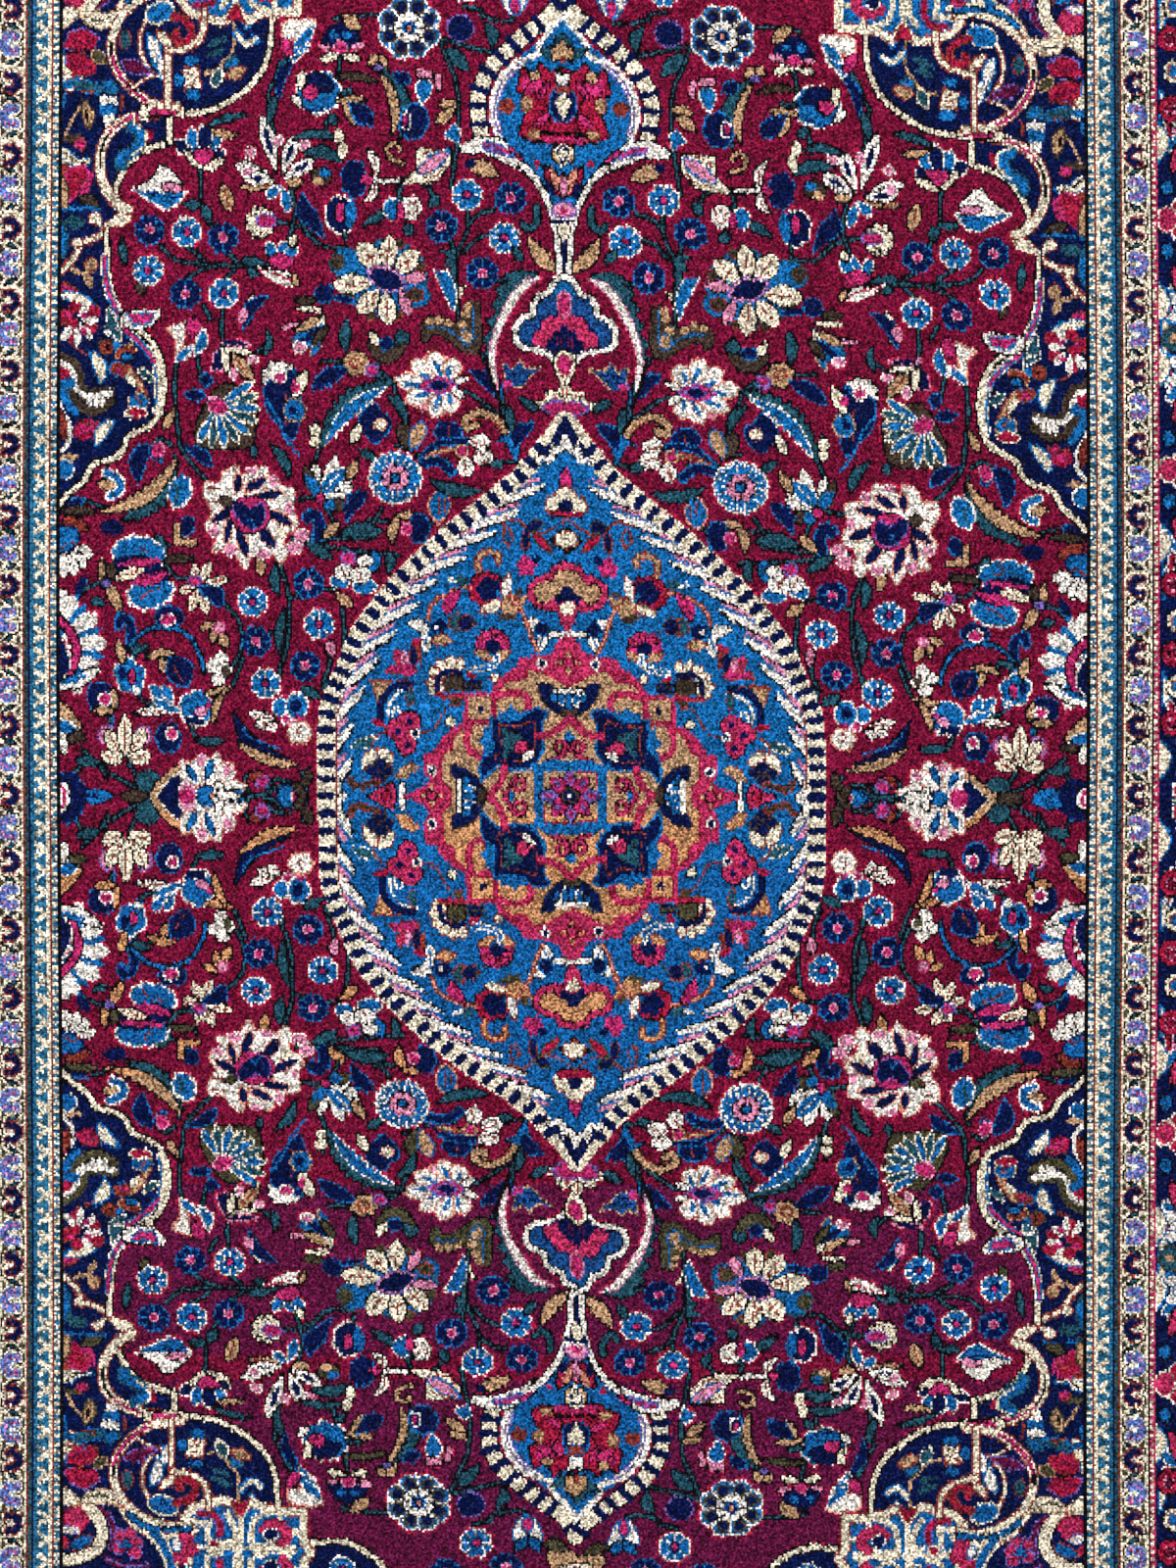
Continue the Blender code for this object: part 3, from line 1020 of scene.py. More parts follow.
# %% Inner buds
figures("""
# the open bud by the cream bar
shape sky/teal -240,392 -228,402 -216,412 -212,398 -222,386 -236,382
leaf 8 tan -212,410 -238,398
leaf 6 cream/black -213,412 -219,392
leaf 5 cream/black -214,416 -238,417
leaf 6 sky:tan -214,398 -224,376
leaf 6 navy:sky -216,402 -236,384
spot 5 4 pink/ivory -234,384
leaf 7 brown -210,402 -222,386 -238,424 -220,424
spot 8 navy:sky -213,430
leaf 5 navy:sky -206,427 -186,423
leaf 9 -2 teal -193,408 -194,380
# the bud in a bowl
leaf 7 cream -175,398 -166,384
leaf 12 teal -149,398 -144,384
round brown/black -176,387 -160,382 -143,387 -150,374 -160,371 -170,375
spot 6 5 navy/sky -160,387
# the tan blob on its stem
bloom 12 11 7 .2 tan//black -186,370
spot 6 5 rust -186,370
spot 4 3 tan -186,370
spot 4.5 4 magenta//lilac -172,364
leaf 13 2 navy:sky -224,347 -193,366
# the split navy flower with cream seeds
round navy:sky -183,318 -180,328 -170,336 -164,328 -156,322 -158,312 -168,302 -176,308
spot 5 4 cream/salmon -165,318
leaf 8 cream -190,302 -182,318
leaf 8 4 teal -158,342 -143,318
spot 5 cream/black -221,313
spot 4.2 4.5 cream/black -221,303
bloom 9 10 6 .12 sky/tan -238,330
spot 4 navy -240,330
spot 5 12 -25 cream//black -234,352
spot 4 5 magenta -238,350
# the folded leaf bud
leaf 13 brown full=.4 -148,318 -137,294
leaf 12 tan/sky full=.4 -129,320 -138,296
# the navy half flower on three strands
bloom 12 9 6 .12 navy/sky -107,311
line 1.4 rust -107,316 -106,308 -112,304
line 4 navy//sky -128,290 -114,302 -92,303
line 1.8 tan//rust -130,287 -116,294 -98,297
line 6 navy//sky -130,284 -116,286 -104,278
spot 4.5 magenta//tan -95,295
spot 9 6 ivory/black -80,303
spot 9 7 ivory/black -77,290
spot 7 8 ivory/black -92,281
line 1.4 rust -87,303 -80,300 -74,302
-86,290 -79,293 -73,288 -78,285
-93,287 -92,281 -95,276
# the little palmette beside the middle line
shape denim/tan -60,370 -52,364 -46,371 -40,364 -28,366 -38,358 -44,350 -56,350
line 1.8 navy -56,360 -46,361 -36,361
-54,354 -48,355 -42,354
spot 4 3.5 magenta:lilac -56,352
# the slanting sky bud in white petals
petals 10 ivory/black full=.66 -217,256 -222,284 -202,290 -186,276 -188,264 -196,254
leaf 13 sky//ivory -216,258 -195,280
bar 1.2 ivory -211,263 -199,276
leaf 8 brown -222,262 -230,282
leaf 8 tan -194,270 -184,288
leaf 10 sky/brown -216,256 -228,274
leaf 10 brown -212,252 -194,247
spot 5 sky -208,249
spot 4 magenta/black -216,254
leaf 7 teal -182,296 -168,286
line 8 navy//sky -218,222 -217,234 -222,241 -227,238
leaf 12 4 navy:sky full=.6 teeth=3 -194,234 -176,260
leaf 12 3 teal -200,224 -162,226
leaf 8 tan -214,220 -200,234
leaf 8 3 tan -154,216 -148,240
leaf 6 tan -152,240 -134,240
bloom 9 13 6 .1 navy/sky -132,229
spot 4.2 4.5 magenta/pink -142,228
leaf 17 sky//salmon -114,262 -115,234
bar 1.3 rust -115,256 -115,240
bar 1.1 rust -110,254 -110,243
leaf 10 -5 teal -122,270 -78,262
leaf 9 teal -228,217 -206,203
leaf 7 2 teal -158,210 -158,190
# the flower with three cream petals
spot 7 9 -20 sky//black -172,200
spot 8 6 sky/ivory -199,184
spot 10 6 sky/ivory -178,179
spot 8 7 ivory:black -196,191
spot 7 5 ivory:black -178,201
spot 9 7 ivory:black -182,189
bar 1.4 rust -198,194 -194,188
line 1.4 rust -186,194 -181,188 -184,184
spot 5 4.5 magenta//lilac -192,203
""")

# %% The sky rosette with a second ring of pink petals inside
x, y = -152, 272
shape(ring_of(x, y, 22, 22, lobes=18, depth=0.1), "sky", "ivory", 1.6)
for k in range(18):
    spoke(x, y, math.radians(20 * k), 13, 21, "ivory", 1.15)
spot(x, y, 12.5, 12, "black")
for k in range(8):
    angle = math.radians(45 * k + 22.5)
    spot(x + 8.5 * math.cos(angle), y + 8.2 * math.sin(angle), 3.4, 3.4, "pink")
spot(x, y, 3.4, 3.2, "sky")

# %% [markdown]
# The corners. Each is a navy ground cut off from the field by a lobed cream line, with its
# own scrolls and flowers, and part of a sky cartouche laced with cream straps.

# %% The navy corners
CORNER_LINE = through(
    ((-443, 244), (-432, 258), (-418, 270), (-410, 284), (-395, 288), (-385, 296), (-380, 308), (-362, 317),
     (-353, 330), (-350, 350), (-352, 370), (-360, 388), (-372, 400), (-386, 412), (-394, 428), (-399, 450),
     (-400, 486)),
    steps=3,
)
LOBE_LINE = through(((-380, 502), (-392, 514), (-388, 532), (-375, 549), (-358, 557), (-345, 560)), steps=4)
GREAT_LOBE_LINE = through(
    ((-338, 584), (-312, 587), (-290, 598), (-272, 614), (-262, 634), (-259, 662), (-259, 700)), steps=4
)


CARTOUCHE_MIDDLE = 708
CARTOUCHE_RIM = (
    (-338, 682), (-330, 672), (-316, 666), (-303, 663), (-296, 666), (-290, 676), (-284, 666),
    (-278, 664), (-271, 669), (-252, 671), (-237, 671), (-237, 700), (-231, 708),
)
STRAPS = (
    ((-338, 682), (-324, 686), (-316, 682), (-318, 700), (-304, 702), (-296, 702)),
    ((-302, 676), (-296, 686), (-294, 704)),
    ((-290, 676), (-290, 706)),
    ((-262, 672), (-276, 678), (-281, 690), (-281, 706)),
    ((-257, 672), (-257, 682)),
    ((-250, 691), (-240, 691)),
    ((-246, 712), (-252, 702), (-266, 703), (-278, 704)),
)
CURLED_STRAP = ((-322, 678), (-311, 679), (-305, 688), (-306, 697))
RING_STRAP = ((-271, 689), (-264, 684), (-254, 687), (-251, 695), (-256, 701))


def half_cartouche(way):
    """The half that is drawn, or its mirror image."""
    def put(points):
        return np.array([(x, CARTOUCHE_MIDDLE + way * (y - CARTOUCHE_MIDDLE)) for x, y in points])

    shape(np.vstack((put(CARTOUCHE_RIM), ((-338, CARTOUCHE_MIDDLE),))), "sky")
    line(put(CARTOUCHE_RIM), "cream", 6.6, "rust", 0.9, smooth=False)
    for strap in STRAPS:
        line(put(strap), "cream", 5, None)
    line(put(CURLED_STRAP), "sky", 9, None)
    line(put(CURLED_STRAP) - (2, way), "scarlet", 5.4, "lilac", 1.0)
    line(put(RING_STRAP), "rose", 7.5, "scarlet", 1.1)
    spot(-265, CARTOUCHE_MIDDLE - way * 14, 5.4, 5, "navy", "ivory", reach=1.2)


def cartouche():
    """A sky ground laced with thick cream straps, with a crimson leaf in the notch of its rim."""
    middle = CARTOUCHE_MIDDLE
    half_cartouche(1)
    half_cartouche(-1)
    line(((-326, middle), (-246, middle)), "cream", 6, None)
    line(((-334, middle - 14), (-334, middle + 14)), "cream", 8, None)
    spot(-312, middle - 4, 3.6, 3.2, "scarlet", "cream")
    for x in (-300, -284, -262):
        leaf(x - 6, middle + 4, x + 6, middle + 5, 7, "sky", None)
    notch_leaf = ((-298, 664), (-290, 666), (-283, 663), (-287, 673), (-290, 677), (-294, 672))
    shape(notch_leaf, "scarlet", "rust", 1.1)


# %% Corner grounds
# the last lobes of the edge are past the end of the photograph, and are finished plainly
LAST_LOBES = (
    (-236, 700), (-205, 697), (-184, 706), (-168, 722), (-160, 742), (-138, 752), (-120, 770),
    (-112, 800), (-60, 840),
)
BEHIND_THE_BORDER = ((0, 850), (0, 900), (-470, 900), (-470, 244))
ground = (
    CORNER_LINE, ((-380, 502),), LOBE_LINE, ((-345, 580), (-338, 584)), GREAT_LOBE_LINE, LAST_LOBES,
    BEHIND_THE_BORDER,
)
shape(np.vstack(ground), "navy")
line(np.vstack((GREAT_LOBE_LINE[-1:], LAST_LOBES)), "cream", 4.2, "black")
line(GREAT_LOBE_LINE, "cream", 4.2, "black")

# %% Corner flowers
figures("""
# inside the great lobe
line 1.7 cream:rust -350,617 -364,616 -376,609
line 2.2 cream/rust -362,620 -371,635 -372,653 -365,668
spot 12 8.5 18 sky//cream -355,671
spot 1.2 navy -360,673 -353,670 -357,667 -349,674
leaf 10 maroon/lilac full=.6 -360,618 -388,629
leaf 8 -2 ivory//sky full=.4 -351,613 -358,635
leaf 9 -3 ivory//sky full=.6 -360,625 -365,652
spot 4.5 8 teal/rust -385,648
shape cream//rust -336,621 -323,624 -320,606 -333,606
""")
for y in (618, 613, 608):
    line(((-332, y), (-324, y + 1)), "rust", 1.3, smooth=False)
figures("""
spot 6 4 sky//navy -328,630
spot 4 6 sky//navy -339,613
spot 7 4 sky//navy -326,601
line 2.6 tan -318,618 -306,622 -299,630 -292,640 -292,664
leaf 8 teal//cream -309,607 -303,622
leaf 7 teal/ -316,641 -296,650
leaf 6 teal/ -316,634 -298,640
spot 5 4 20 sky//teal -293,627
leaf 9 tan//rust -298,616 -282,622
line 4 cream//sky -289,652 -281,644 -273,648
leaf 4 cream//sky -281,668 -281,656
""")
cartouche()
figures("""
# the S bands and the crimson cluster between the cartouche and the side
line 5 cream:rust -390,676 -378,692 -360,700 -344,699 -328,693
line 7 sky///cream -364,696 -355,708 -349,721 -347,736
spot 6 rose/scarlet -336,701 -332,710 -340,717
leaf 7 ivory//sky -346,702 -342,712
# the cream arc at the side, and the flowers on both sides of it
line 4 maroon/lilac -420,673 -402,682 -396,698 -398,712
line 10 cream/black -422,674 -411,683 -406,697 -408,710 -418,720 -436,726
bloom 10 11 5 .2 rose//scarlet -428,688
leaf 7 ivory/lilac -443,698 -425,699
leaf 10 sky/rust -434,714 -413,704
leaf 7 scarlet:rust -444,704 -434,712
petals 10 rose/lilac -386,708 -396,716 -394,697 -380,694 -372,706 -374,720
shape sky/maroon -392,712 -386,702 -380,711
line 2.2 lilac//maroon -402,722 -386,728 -368,726
# beyond the cartouche, where the photograph ends, the ground is finished plainly
line 1.9 teal//black -432,808 -395,790 -357,814 -320,792 -282,814 -245,792 -208,814 -170,792 -124,772
leaf 9 3 teal/ -378,794 -372,816 -304,794 -298,816 -228,794 -222,816 -156,792 -144,812
leaf 8 -2 tan/ -372,792 -356,784 -296,794 -280,784 -220,794 -204,784
rosette 11 sky -205,722 -150,782 -290,775 -350,765 -395,810 -320,812 -245,812 -170,814
rosette 11 navy -55,798 -22,812
spot 8 scarlet/pink -190,752 -225,772 -395,740 -357,792 -282,794 -208,794
""")

# %% The flowers between the lobes and the side border, from the far end down
figures("""
shape cream/tan -446,656 -436,660 -426,668 -424,674 -446,676
shape cream//tan -424,672 -418,662 -406,658 -394,662 -388,673 -402,670 -412,672
line 1.7 brown -420,668 -409,664 -396,668
shape scarlet/lilac -438,642 -426,638 -412,640 -408,650 -420,658 -432,655
shape scarlet/rust -440,634 -436,624 -424,617 -410,620 -411,630 -424,637
line 2 black -434,636 -422,640 -411,637
line 1.6 maroon -434,630 -424,625 -414,625
-432,648 -422,646 -413,648
leaf 9 olive/tan -413,638 -402,628
leaf 9 cream//sky -446,640 -438,626
petals 9 cream/rust -428,618 -443,622 -443,612 -434,604 -420,607
shape sky -444,606 -432,606 -420,620 -434,612 -444,616
leaf 9 teal//sky -432,612 -404,604
bar 2 rust -424,604 -412,604
leaf 7 sky/ -442,586 -436,604
leaf 8 sky//teal -404,612 -392,604
shape ivory -407,600 -392,600 -391,594 -406,592
shape sky -406,592 -392,592 -392,583 -406,584
shape ivory -404,584 -393,583 -395,575 -402,573
bar 3 rust//navy -387,600 -388,588
line 2.4 tan -436,566 -430,580 -420,594
leaf 9 2 tan//brown -421,596 -416,572
leaf 3 black/ -419,590 -417,578
leaf 7 brown/ -440,562 -422,566
spot 4.5 4 magenta/rust -423,559
shape cream/sky -441,555 -433,554 -426,546 -414,545 -418,539 -430,541 -438,546
line 1.5 black -436,553 -428,545 -417,542
spot 7 6 rust/ivory -437,536
leaf 16 -3 scarlet//magenta full=.4 -420,540 -430,512
leaf 9 magenta/ -412,536 -424,508
line 1.6 rust -428,528 -420,527 -416,522
leaf 9 brown -424,514 -406,506
leaf 8 tan//brown -439,532 -436,502
line 2.6 sky -440,502 -424,504 -404,503
spot 9 5.5 teal/navy -427,492
leaf 10 sky//teal full=.55 -439,494 -438,462
line 3.6 cream//rust -401,486 -406,480 -420,474 -424,468 -430,458 -441,448
spot 5 4.5 cream/rust -410,495
line 3.6 cream -408,494 -404,488
spot 4.5 4 cream/rust -425,474
spot 5 6 tan:rust -413,455
line 2.6 tan -414,450 -422,448 -430,452
leaf 7 tan/ -418,450 -412,434
leaf 7 magenta//rust -441,438 -424,430
leaf 8 2 cream//sky -440,430 -408,418
# the crimson and white cluster
spot 6 5 scarlet:rust -436,411
spot 5 scarlet:rust -429,405 -427,419
spot 6 5 scarlet:rust -411,415
spot 5 scarlet:rust -413,401 -427,392
petals 7 ivory/ inner=.2 -426,408 -406,408 -412,392 -424,384 -438,390 -414,424
spot 3.5 3 magenta -432,412 -419,398 -418,412
# teal kites, the ring flowers and the cream sickle
shape teal/ivory -398,418 -400,400 -388,401
-400,397 -388,398 -387,389
line 2 rust -426,384 -414,378 -402,374
spot 6.5 6 rust/brown -399,385
spot 2.4 2.2 black -399,385
leaf 7 sky/ -394,390 -386,378
spot 9 5 20 rust/tan -383,380
spot 5 3 sky//black -381,376
spot 9 6 -15 rust/sky -388,365
spot 4 2.4 magenta -388,364
line 3.6 tan//rust -380,366 -373,356 -367,343
leaf 6 cream/ -382,362 -374,350
leaf 6 teal:cream -372,366 -358,354
leaf 10 4 cream//sky -413,380 -404,354
# the cloud band with its sawn back
line 11 brown -443,377 -430,371 -424,362 -423,352 -416,344 -397,346
line 7 brown/black -432,350 -422,334 -408,330 -395,338
line 5 ivory -443,374 -432,368 -427,360 -426,352 -418,343 -397,345
""")
for x in (-413, -408, -403):
    leaf(x, 342, x, 333, 5, "ivory", None)
figures("""
spot 3.6 3.4 ivory -397,345
leaf 12 scarlet/ -443,366 -430,358
line 7 sky -438,352 -433,338 -426,328
spot 6 5 sky -431,354
line 4.2 ivory -442,350 -438,332 -430,316 -432,302 -441,292
leaf 9 rust:black -441,335 -434,305
bloom 12 9 6 .15 20 scarlet//navy -416,314
leaf 8 magenta/ -424,308 -408,322
line 1.8 rust -424,322 -412,318 -406,322
leaf 9 -3 cream//sky -392,322 -408,300
bloom 9 8 5 .15 sky/tan -372,337
leaf 9 scarlet/cream -383,328 -364,328
bar 1.5 rust -374,342 -369,336
leaf 7 tan/ -441,289 -422,291
spot 8 sky/ivory -435,280
""")

# %% Corner scrolls
# double line down the waist of the corner, with coloured yarn between
waist = through(((-352, 330), (-350, 350), (-354, 372), (-366, 388), (-380, 400)), steps=4)
line(CORNER_LINE, "cream", 4.2, "black")
line(waist + (-4, 0), "cream", 7.5, None, smooth=False)
line(waist[8:] + (-5, 0), "magenta", 3, "sky", 1.2, smooth=False)
line(waist[:8] + (-6, 0), "sky", 2, None, smooth=False)
upper = through(((-384, 412), (-392, 428), (-396, 446), (-397, 462)), steps=4)
line(upper + (-4, 0), "cream", 8, None, smooth=False)
line(upper + (-4.5, 0), "magenta", 2.8, "sky", 1.1, smooth=False)
figures("""
# the crescent between them
shape ivory//black -388,412 -378,416 -354,416 -353,411 -361,402 -376,399 -388,404
shape magenta//sky -381,412 -360,413 -362,406 -375,404
# the thorn and the second lobe
shape cream/rust -402,488 -392,487 -382,491 -377,500 -389,500 -396,494
shape cream/black -380,501 -390,503 -400,512 -394,514
""")
line(LOBE_LINE, "cream", 4.4, "black")
figures("""
bar 4.4 cream//black -346,560 -346,584
""")
outer = through(
    ((-381, 502), (-394, 510), (-404, 528), (-406, 546), (-402, 562), (-392, 574), (-376, 582),
     (-356, 584)),
    steps=4,
)
line(outer, "cream", 7.4, "rust", 1.2, smooth=False)
line(outer[10:-2], "black", 2.4, None, smooth=False)
line(outer[18:], "magenta", 2.2, None, smooth=False)
figures("""
bar 8.5 cream//black -368,586 -338,586
bar 4.2 magenta/black -362,586 -342,586
leaf 10 scarlet/ -372,558 -360,571
line 8 sky//teal -378,572 -371,566 -375,554 -386,548 -388,541
line 2.2 cream -377,576 -367,570 -368,558 -379,549
""")
# the great lobe's left side, its post and scroll
left = through(
    ((-340, 590), (-362, 594), (-380, 606), (-393, 624), (-397, 644), (-391, 664), (-381, 676),
     (-366, 686), (-350, 690), (-334, 688)),
    steps=4,
)
line(left, "cream", 6.4, "rust", 1.1, smooth=False)
line(left[6:17], "black", 3.6, None, smooth=False)
line(left[5:15], "magenta", 2.8, None, smooth=False)
figures("""
bar 4.4 cream/rust -348,590 -348,640
line 4.2 cream//rust -348,638 -338,639 -324,645 -318,656 -317,672
leaf 7 cream//rust -345,641 -357,655
line 4 scarlet//rust -344,668 -335,665 -328,656 -332,646 -342,648 -341,654
line 4.5 sky:black -384,681 -373,690 -360,694
-353,694 -333,692
""")

# %% [markdown]
# The middle: a sky blue medallion with a sawn cream band, white feathers and a tan cross in its
# heart, and a pendant on each end that hangs from a white lotus.

# %% The pendants
PENDANT_BAND = through(
    ((-9, 684), (-22, 666), (-40, 652), (-54, 640), (-68, 626), (-79, 608), (-82, 590), (-79, 566)),
    steps=5,
)
PENDANT_DASHES = (
    (-15, 678), (-27, 659), (-38, 649), (-49, 640), (-62, 631), (-71, 620), (-79, 606), (-80, 590),
    (-78, 573),
)


def across_band(points, places, length, width, yarn):
    """Short bars laid across a band at the given places."""
    for x, y in places:
        nearest = np.argmin(np.hypot(points[:, 0] - x, points[:, 1] - y))
        before, after = points[max(nearest - 1, 0)], points[min(nearest + 1, len(points) - 1)]
        run = (after - before) / np.hypot(*(after - before))
        out = np.array((-run[1], run[0]))
        start, end = points[nearest] - out * length / 2, points[nearest] + out * length / 2
        line((start, end), yarn, width, smooth=False)


# %% The medallion
SIDE_DASHES = (
    (-211, 0), (-211, 14), (-211, 28), (-211, 42), (-211, 56), (-210, 70), (-207, 83), (-202, 95),
    (-197, 106), (-192, 118),
)
SLOPE_DASHES = (
    (-187, 131), (-180, 144), (-171, 156), (-163, 167), (-154, 177), (-145, 188), (-133, 199),
    (-124, 208), (-113, 218), (-102, 228), (-91, 237), (-79, 246), (-68, 255), (-57, 264), (-45, 274),
    (-36, 285), (-27, 296),
)
MEDALLION_BAND = np.array(((-211, -14),) + SIDE_DASHES + SLOPE_DASHES + ((-18, 307), (-8, 321)))
# where each feather springs from the band, and where its tip is
FEATHERS = (
    (-205, 8, -189, 33), (-204, 42, -188, 63), (-200, 70, -178, 93), (-191, 99, -164, 119),
    (-181, 125, -150, 141), (-166, 149, -130, 166), (-151, 172, -114, 185), (-131, 193, -90, 205),
    (-106, 215, -65, 226), (-81, 233, -44, 244), (-61, 253, -24, 266),
)


def beside(points, distance):
    """A line that runs beside another, to its right when seen along it."""
    run = np.gradient(points, axis=0)
    return points + np.column_stack((run[:, 1], -run[:, 0])) / np.hypot(*run.T)[:, None] * distance


# barbs are given as a share of the feather's length, and a height over it in mm
WHITE_BARBS = (
    (-0.15, -0.6), (0.2, 2.8), (0.66, 2.6), (1.04, 0.8), (0.86, -0.4), (0.93, -1.9), (0.68, -2.1),
    (0.7, -3.9), (0.3, -3.6), (-0.15, -4.6),
)
PINK_BARBS = ((0.14, 4.4), (0.4, 8.8), (0.7, 9.6), (1.04, 7.4), (0.88, 6.4), (1.0, 4.9), (0.66, 4.6))


def feather(x0, y0, x1, y1):
    """A feather from the band: three white barbs over a black shadow, and two pink ones above."""
    along = np.array((x1 - x0, y1 - y0), float)
    up = np.array((-along[1], along[0])) / math.hypot(*along)

    def put(barbs):
        return [(x0, y0) + along * share + up * height for share, height in barbs]

    shape([point - up * 1.8 + along * 0.03 for point in put(WHITE_BARBS)], "black")
    shape(put(WHITE_BARBS), "ivory")
    shape(put(PINK_BARBS), "pink", "deep_sky", 1.0)


def feathers():
    for place in FEATHERS:
        feather(*place)
    line(((-202, -14), (-201, 0), (-202, 14)), "ivory", 5, "black", 1.2)
    leaf(-201, 0, -193, 0, 6, "ivory", "black", reach=1.0)


# %% The cross in the heart
def scroll(x, y, turn, flip=1):
    """A rosy ring that uncurls into a tail, drawn downwards and to the left."""
    tail = np.array(((5, 3), (5.5, -4), (0, -8), (-7, -11), (-12, -13))) * (flip, 1)
    line(placed(tail, x, y, turn), "rose", 3, "black", 0.9)
    ring = ring_of(0, 0, 4.6)
    line(placed(np.vstack((ring, ring[:1])), x, y, turn), "rose", 2.6, "black", 0.9, smooth=False)


def basket(x, y, turn):
    """A dark half flower like a basket, with a white bar across its mouth."""
    def put(points):
        return placed(points, x, y, turn)

    bowl = ((-26, 9), (-17, 8), (-12, 3), (12, 3), (17, 8), (26, 9), (23, -4), (15, -13), (5, -19),
            (-5, -19), (-15, -13), (-23, -4))
    shape(put(bowl), "navy", "brown", 1.2)
    for tip in (-16, -8, 0, 8, 16):
        petal = leaf_outline((tip * 0.9, 1), (tip * 0.72, -13 + abs(tip) * 0.35), 5.2)
        shape(put(petal), "sky", "ivory" if tip in (-8, 8) else "black", 0.8)
    shape(put(((-7, -14), (7, -14), (4, -20), (-4, -20))), "brown", "black", 1.0)
    line(put(((-12, 2.5), (12, 2.5))), "ivory", 4, "black", 1.0, smooth=False)


def oak_leaf():
    """The navy leaf in each corner of the cross: sky edge, teal heart and a rosy flower."""
    outline = ((-69, 66), (-56, 63), (-44, 65), (-38, 71), (-30, 74), (-23, 71), (-28, 63), (-28, 50),
               (-26, 40), (-31, 31), (-38, 24), (-52, 23), (-66, 26), (-72, 21), (-78, 14), (-79, 24),
               (-76, 33), (-67, 40), (-69, 52))
    inner_line = ((-64, 60), (-46, 60), (-37, 64), (-33, 60), (-33, 46), (-36, 34), (-50, 29), (-66, 31),
                  (-62, 42), (-64, 60))
    shape(outline, "navy", "sky", 2.3)
    line(inner_line, "rust", 1.3)
    shape(ring_of(-52, 47, 9, 8.5, turn=20, lobes=4, depth=0.25), "teal", "black", 1.0)
    leaf(-62, 58, -56, 52, 6, "teal", None)
    leaf(-60, 34, -54, 40, 6, "teal", None)
    shape(ring_of(-44, 41, 6.5, 6, lobes=5, depth=0.15), "rose", "black", 1.0)
    spot(-37, 37, 3.6, 3.6, "rose", "black", reach=0.9)
    leaf(-44, 31, -33, 38, 6.5, "ivory", "black", reach=0.9)


# %% Pendant grounds
SKY_DROP = (
    (-9, 672), (-30, 645), (-52, 627), (-66, 610), (-72, 585), (-66, 556), (-34, 528), (-19, 503),
    (-12, 480), (-10, 452), (-7, 452), (-7, 672),
)
shape(SKY_DROP, "sky")
line(PENDANT_BAND, "black", 15.5, None, smooth=False)
line(PENDANT_BAND, "cream", 12.5, None, smooth=False)
across_band(PENDANT_BAND, PENDANT_DASHES, 13, 6.2, "navy")
# the inner double line and the wing it grows out of
inner = through(
    ((-9, 668), (-29, 644), (-31, 634), (-50, 627), (-63, 613), (-69, 598), (-70, 580), (-62, 560)),
    steps=5,
)
line(inner, "ivory", 4.6, None, smooth=False)
line(inner[14:-3] + (4.4, -2), "ivory", 1.8, "lilac", 1.4, smooth=False)
figures("""
shape ivory//black -97,556 -82,564 -62,562 -40,538 -34,528 -56,541 -76,550 -95,550
shape lilac:sky -78,558 -66,558 -50,546 -60,548 -78,553
line 2.6 magenta -76,557 -65,555 -58,551
line 3 magenta/black -54,553 -46,546 -37,535
""")
neck = through(((-44, 540), (-33, 528), (-22, 508), (-15, 486), (-13, 466), (-12, 448)), steps=5)
line(neck, "ivory", 4.6, "black", smooth=False)

# %% Pendant flowers
figures("""
# the crown flower, its stem and the crimson star
shape teal/black -30,640 -22,630 -14,628 -9,640 -9,652 -16,648 -18,640
shape tan/black -17,630 -18,638 -13,641 -9,646 -5,641 0,638 -1,630
spot 2.5 3.5 rust -9,630
shape scarlet//black -48,603 -44,622 -34,616 -28,626 -20,618 -9,622 2,618 10,626 14,600 14,560 -9,556
 -22,562 -36,560 -46,566 -42,580 -34,592
leaf 9 magenta:black -26,612 -42,600
leaf 6 magenta/ -36,618 -44,606
leaf 5 magenta:black -30,596 -20,612
leaf 6 magenta:black -34,572 -20,584
line 1.5 black -30,604 -24,592 -20,578 -24,566
spot 4.5 4 tan/black -33,616
spot 4.5 6 tan/rust -40,592
spot 6 4 tan/rust -33,566
shape ivory//black -15,618 -3,618 -6,604 -12,604
bloom 10.5 15 0 0 navy//sky -9,592
shape cream//navy -16,594 -9,601 -2,594 -9,577
leaf 6 rust:sky -17,604 -1,604
spot 7 6.5 rust/sky -57,590
bar 3.4 black -28,566 10,566
bar 3 magenta -26,561 8,561
# the bulb and the pink leaves
bloom 9 8.5 5 .12 tan//black -9,549
shape navy//cream -15,552 -9,557 -3,552 -9,540
shape cream:navy -9,555 -5,550 -9,544 -13,550
shape scarlet//black -25,538 -18,533 -14,526 -9,532 -4,526 0,533 7,538 4,520 -9,512 -22,520
leaf 7 salmon:black -9,514 -20,538
leaf 6 pink:black -9,512 -9,530
spot 3 scarlet -31,541
leaf 6 navy/ -22,526 -17,512
# the knot of the neck
bloom 9 6.5 6 .15 pink//lilac -9,501
spot 3 magenta -9,500
bar 3.8 navy:ivory -17,491 -1,491
leaf 8 cream/black full=.3 -9,490 -9,474
bar 1.7 navy -9,474 -9,452
""")

